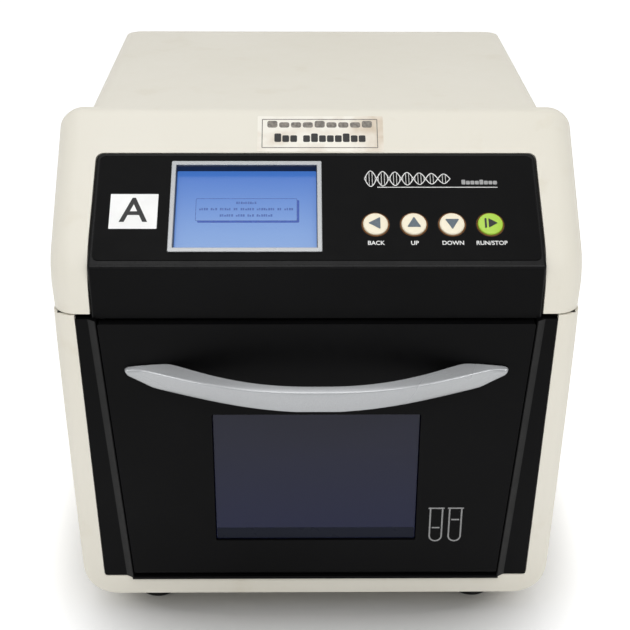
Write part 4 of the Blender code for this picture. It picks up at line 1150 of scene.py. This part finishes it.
def magnet_head():
    """Plate with sixteen round-nosed magnet rods and the brass nut of its lead screw."""
    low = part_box("magnet_head")[0]
    plate_low, plate_high = 0.24, 0.248
    right = [(0.122, 0.104), (0.122, 0.12), (0.075, 0.12), (0.075, 0.176)]
    body = prism_z("magnet_plate", right + mirror(right), plate_low, plate_high)
    lift_y = behind(0.16)
    holes = [bar("hole", (x, lift_y, plate_low - 0.01), "z", radius, length) for x, radius, length in
             ((-0.062, 0.0055, 0.03), (0.062, 0.0055, 0.03), (-0.026, 0.0044, 0.05), (0.026, 0.0065, 0.05))]
    cut(body, *holes[:2])
    join(body, bar("nut", (-0.026, lift_y, plate_low + 0.001), "z", 0.009, 0.015))
    cut(body, *holes[2:])
    painted(body, MACHINED)
    stands_for(soften(body, 0.0005, 2), "magnet_head")
    rod_r, tall = 0.0032, plate_low - low.z + 0.002
    profile = [(0, 0)] + [(r + rod_r - 0.0012, z) for r, z in arc((0, 0.0012), 0.0012, -90, 0, 5)]
    profile += [(rod_r, tall), (0, tall)]
    for i in range(16):
        x = (i - 7.5) * 0.0135 + (0.00225 if i > 7 else -0.00225)
        magnet = turned(f"magnet_rod_{i + 1:02d}", profile, STEEL, 24)
        magnet.data.transform(Matrix.Translation((x, behind(0.112), low.z)))
        added(magnet, "magnet_head")


def lamp():
    low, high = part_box("uv_lamp")
    middle = centre_of("uv_lamp")
    cap, inside = 0.016, 0.002
    start, length = low.x + cap - inside, high.x - low.x - 2 * (cap - inside)
    tube = bar("lamp_tube", (start, middle.y, middle.z), "x", 0.008, length, LAMP)
    stands_for(soften(tube, 0.0006), "uv_lamp")
    for name, x in (("left", low.x), ("right", high.x - cap)):
        end = bar(f"lamp_cap_{name}", (x, middle.y, middle.z), "x", 0.01, cap, CERAMIC)
        added(soften(end, 0.0012, 4))


def chamber():
    for width, nodes in (
        (0.0002, ("control_board",)),
        (0.0003, ("chamber_back",)),
        (0.0005, ("base_plate", "side_plate_left", "side_plate_right", "lift_deck", "lower_beam",
                  "plunger_bar", "door_catch")),
        (0.001, ("power_supply", "rail_left", "rail_right", "magnet_motor", "plunger_motor",
                  "drive_motor")),
    ):
        for node in nodes:
            refined(node, width)
    for node in ("platform", "elution_block", "carriage"):
        refined(node, 0.0005, MACHINED)
    for node in ("magnet_screw", "plunger_screw"):
        threaded(node, "z")
    threaded("drive_screw", "y")
    magnet_head()
    lamp()
    for side in ("left", "right"):
        rod(f"guide_rod_{side}", "z", 0.0006)


# ---- rear
def screw_head(name, centre, radius):
    """Pan-head screw with a cross recess, facing the back."""
    profile = [(0, -0.002), (radius * 0.5, -0.002), (radius * 0.5, 0), (radius, 0)]
    profile += [(x, 0.0004 + 0.45 * y) for x, y in arc((0, 0), radius, 0, 90, 8)]
    head = turned("head", profile, None, 28)
    for turn in (0, pi / 2):
        long, wide = radius * 0.6, radius * 0.11
        slot = prism("slot", rectangle(-long, long, -wide, wide), 0.0004 + radius * 0.12, 0.01)
        slot.data.transform(Matrix.Rotation(turn, 4, "Z"))
        cut(head, slot)
    head.name = name
    head.data.transform(Matrix.Translation(centre) @ AXIS_TURN["y"])
    added(painted(head, ZINC))


def fan():
    refined("fan_frame", 0.0005)
    refined("fan_rotor", 0.0003)
    middle = centre_of("fan_guard")
    low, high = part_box("fan_guard")
    wire = (high.y - low.y) / 2
    thin, hub, reach = wire * 0.8, 0.003, 0.0232
    rings = [wire_ring("ring", middle, radius, wire, STEEL, 56) for radius in (0.0184, 0.0132, 0.008, hub)]
    for i in range(4):
        turn = radians(45 + 90 * i)
        direction = Vector((cos(turn), 0, sin(turn)))
        hook = middle + direction * (reach + 0.0012)
        strut = bar("strut", (0, 0, hub), "z", thin, reach - hub, STEEL, 10)
        facing = direction.to_track_quat("Z", "Y").to_matrix().to_4x4()
        strut.data.transform(Matrix.Translation(middle) @ facing)
        rings += [strut, wire_ring("hook", hook, 0.0018, thin, STEEL, 24)]
        screw_head(f"fan_screw_{i + 1}", hook + Vector((0, 0.0005, 0)), 0.0022)
    stands_for(joined("fan_grille", rings), "fan_guard")


def rear():
    refined("rear_panel", 0.0003, ZINC)
    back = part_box("rear_panel")[1].y
    places = [(side * 0.15, z) for side in (-1, 1) for z in (0.06, 0.14, 0.212)]
    places += [(side * 0.045, 0.0225) for side in (-1, 1)] + [(0, 0.216)]
    for number, (x, z) in enumerate(places):
        screw_head(f"panel_screw_{number + 1}", Vector((x, back, z)), 0.003)
    depth = back - FACE_Y
    paper = slab("rating_label", (-0.055, 0.0), (0.088, 0.122), 0.0015, depth, depth + 0.0002, PAPER)
    added(paper)
    rules = []
    for i, length in enumerate((0.046, 0.03, 0.04, 0.024, 0.034)):
        level = 0.117 - 0.0048 * i
        ends = [(-0.051, level), (-0.051 + length, level)]
        rules.append(stroke("rule", ends, 0.0012, GREY_INK, on_face(back + 0.0002, True)))
    added(joined("rating_label_rules", rules))
    power_entry(depth)
    serial_port(depth)
    scanner_port(depth)
    fan()


def power_entry(depth):
    for node, width in (("power_inlet", 0.0006), ("fuse_drawer", 0.0006), ("power_switch", 0.0005)):
        refined(node, width, BLACK_SMOOTH)
    for number, (x, z) in enumerate(((0.0855, 0.068), (0.0795, 0.0615), (0.0915, 0.0615))):
        pin = slab(f"inlet_pin_{number + 1}", grown((x, x), 0.001), grown((z, z), 0.0022), 0.0004,
                   depth - 0.0165, depth - 0.002, ZINC)
        added(soften(pin, 0.0003))
    low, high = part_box("power_switch")
    circle = arc(((low.x + high.x) / 2, high.z - 0.0045), 0.0016, 0, 337.5, 15)
    face = on_face(high.y - 0.0005, True) @ Matrix.Translation((0, 0, -0.0002))
    added(stroke("power_switch.ring_mark", circle, 0.0004, WHITE_INK, face, closed=True), "power_switch")


def serial_port(depth):
    low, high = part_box("serial_port")
    middle = centre_of("serial_port")
    flange = slab("serial_flange", (low.x, high.x), (low.z, high.z), 0.0012, low.y - FACE_Y, depth + 0.0016,
                  ZINC)
    stands_for(soften(flange, 0.0003), "serial_port")
    half, tall = 0.0082, 0.0042
    corners = [(-half, tall), (-half + 0.0014, -tall), (half - 0.0014, -tall), (half, tall)]
    shell = rounded([(middle.x + x, middle.z + z) for x, z in corners], (0.0018,) * 4)
    tongue = prism_y("serial_shell", shell, depth + 0.001, high.y - FACE_Y)
    inner = [(middle.x + (x - middle.x) * 0.93, middle.z + (z - middle.z) * 0.88) for x, z in shell]
    cut(tongue, prism_y("inside", inner, depth + 0.0022, depth + 0.01))
    added(painted(tongue, STEEL))
    for row, count, level in ((1, 5, 0.0014), (2, 4, -0.0014)):
        for k in range(count):
            place = (middle.x + (k - (count - 1) / 2) * 0.0027, behind(depth + 0.002), middle.z + level)
            pin = bar(f"serial_pin_{row}_{k + 1}", place, "y", 0.0005, 0.002, MACHINED, 12)
            added(soften(pin, 0.0002))
    for name, x in (("left", low.x + 0.0032), ("right", high.x - 0.0032)):
        nut = bar(f"serial_post_{name}", (x, behind(depth + 0.0014), middle.z), "y", 0.0026, 0.003, sides=6)
        cut(nut, bar("bore", (x, behind(depth + 0.0025), middle.z), "y", 0.0012, 0.01, sides=20))
        added(soften(painted(nut, ZINC), 0.0002))


def scanner_port(depth):
    low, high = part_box("scanner_port")
    middle = centre_of("scanner_port")
    x, z = (middle.x, middle.x), (middle.z, middle.z)
    socket = slab("scanner_socket", (low.x, high.x), (low.z, high.z), 0.001,
                  low.y - FACE_Y, high.y - FACE_Y)
    opening = rounded(rectangle(*grown(x, 0.0045), *grown(z, 0.0042)), (0.0004, 0.0004, 0.0018, 0.0018))
    cut(socket, prism_y("inside", opening, depth - 0.006, depth + 0.02))
    stands_for(soften(painted(socket, STEEL), 0.0003), "scanner_port")
    tongue = slab("scanner_tongue", grown(x, 0.0026), grown(z, 0.0016), 0.0003,
                  depth - 0.0065, depth + 0.002, CERAMIC)
    added(soften(tongue, 0.0002))


# ---- surroundings
def area_light(name, place, target, size, power):
    light = bpy.data.lights.new(name, "AREA")
    light.shape = "RECTANGLE"
    light.size, light.size_y = size
    light.energy = power
    made = linked(name, light)
    made.location = place
    made.rotation_euler = (Vector(target) - Vector(place)).to_track_quat("-Z", "Y").to_euler()
    return made


def backdrop():
    """A white floor that glows a little away from the object: painted light, faded out round the footprint
    into a partly painted soft shadow.
    """
    floor = bpy.data.meshes.new("floor")
    bm = bmesh.new()
    bmesh.ops.create_grid(bm, x_segments=2, y_segments=2, size=12)
    bm.to_mesh(floor)
    bm.free()
    made = linked("floor", floor)
    glow_floor = Finish("floor_painted_glow", Roughness=0.9, Specular_IOR_Level=0.1)
    glow_floor.shader.inputs["Emission Color"].default_value = (1, 1, 1, 1)
    glow_floor.colour(glow_floor.ramp(glow_floor.noise(3, 2), (0.965, 0.965, 0.965), (0.975, 0.975, 0.975)))
    # The glow is painted light on the floor. It fades to nothing in a rounded box shaped to the object's
    # footprint, so the shadow there is part real and part painted by the glow's edge.
    centred = {0: glow_floor.place, 1: (1.22, 1, 1), 2: (0, -0.016, 0)}
    place = glow_floor.node("VectorMath", centred, operation="MULTIPLY_ADD").outputs["Vector"]
    squares = glow_floor.node("VectorMath", {0: place, 1: place}, operation="MULTIPLY").outputs["Vector"]
    away = glow_floor.node("VectorMath", {0: squares}, operation="LENGTH").outputs["Value"]
    glow_floor.feed("Emission Strength", ranged(glow_floor.tree, away, 0.193**2, 0.25**2, 0, 0.62))
    floor.materials.append(glow_floor.material)
    return made


def studio():
    scene = bpy.context.scene
    scene.view_settings.view_transform = "Standard"
    world = bpy.data.worlds.new("studio")
    world.use_nodes = True
    tree = world.node_tree
    place = shader_node(tree, "TexCoord", {}).outputs["Generated"]
    direction = shader_node(tree, "SeparateXYZ", {0: place}).outputs
    # The sky is dimmer in front than behind. From the horizon down it is white.
    dome = ranged(tree, direction["Y"], -0.7, 0.7, 0.27, 0.64)
    light = ranged(tree, direction["Z"], 0.01, 0.09, 1.02, dome)
    background = tree.nodes["Background"].inputs
    background["Color"].default_value = (1, 1, 1, 1)
    tree.links.new(light, background["Strength"])
    scene.world = world
    key = area_light("key", (0.1, -1.33, 1.47), (0, 0, 0.15), (1.9, 0.5), 12.8)
    overhead = area_light("overhead", (0.0, -0.6, 2.0), (0, -0.1, 0.25), (1.2, 0.8), 5.4)
    area_light("top", (-0.2, 0.35, 2.05), (0, 0, 0.15), (1.6, 1.6), 6.5)
    # Two side panels light the handle alone, for the bright line along its crest.
    crest = bpy.data.collections.new("lit_by_side_panels")
    crest.objects.link(bpy.data.objects["bow_handle"])
    for name, side in (("left_panel", -1), ("right_panel", 1)):
        panel = area_light(name, (1.35 * side, -0.55, 1.05), (0.08 * side, -0.24, 0.19), (1.3, 0.3), 8.5)
        panel.light_linking.receiver_collection = crest
    # Both front lights are kept off the floor, so that the object's soft shadow stays under its front edge.
    unlit = bpy.data.collections.new("not_lit_from_front")
    unlit.objects.link(backdrop())
    unlit.collection_objects[0].light_linking.link_state = "EXCLUDE"
    for light in (key, overhead):
        light.light_linking.receiver_collection = unlit


def camera():
    """A front view from above, a little left of the middle."""
    data = bpy.data.cameras.new("camera")
    data.lens, data.sensor_width = 73.33, 36
    made = linked("camera", data)
    forward = Vector((0.0117, 0.8935, -0.4489)).normalized()
    level = Vector((0.99991, -0.0131, 0)).normalized()
    upward = level.cross(forward).normalized()
    roll = radians(0.28)
    right = cos(roll) * level + sin(roll) * upward
    upward = cos(roll) * upward - sin(roll) * level
    turn = Matrix((right, upward, -forward)).transposed()
    made.matrix_world = Matrix.Translation((-0.01042, behind(-0.70256), 0.58006)) @ turn.to_4x4()
    bpy.context.scene.camera = made


for build in (
    lower_housing, upper_cover, feet, console, display, buttons, console_prints,
    door_panel, door_window, door_handle, door_surround, tube_sign, door_inside,
    chamber, rear, studio, camera,
):
    build()
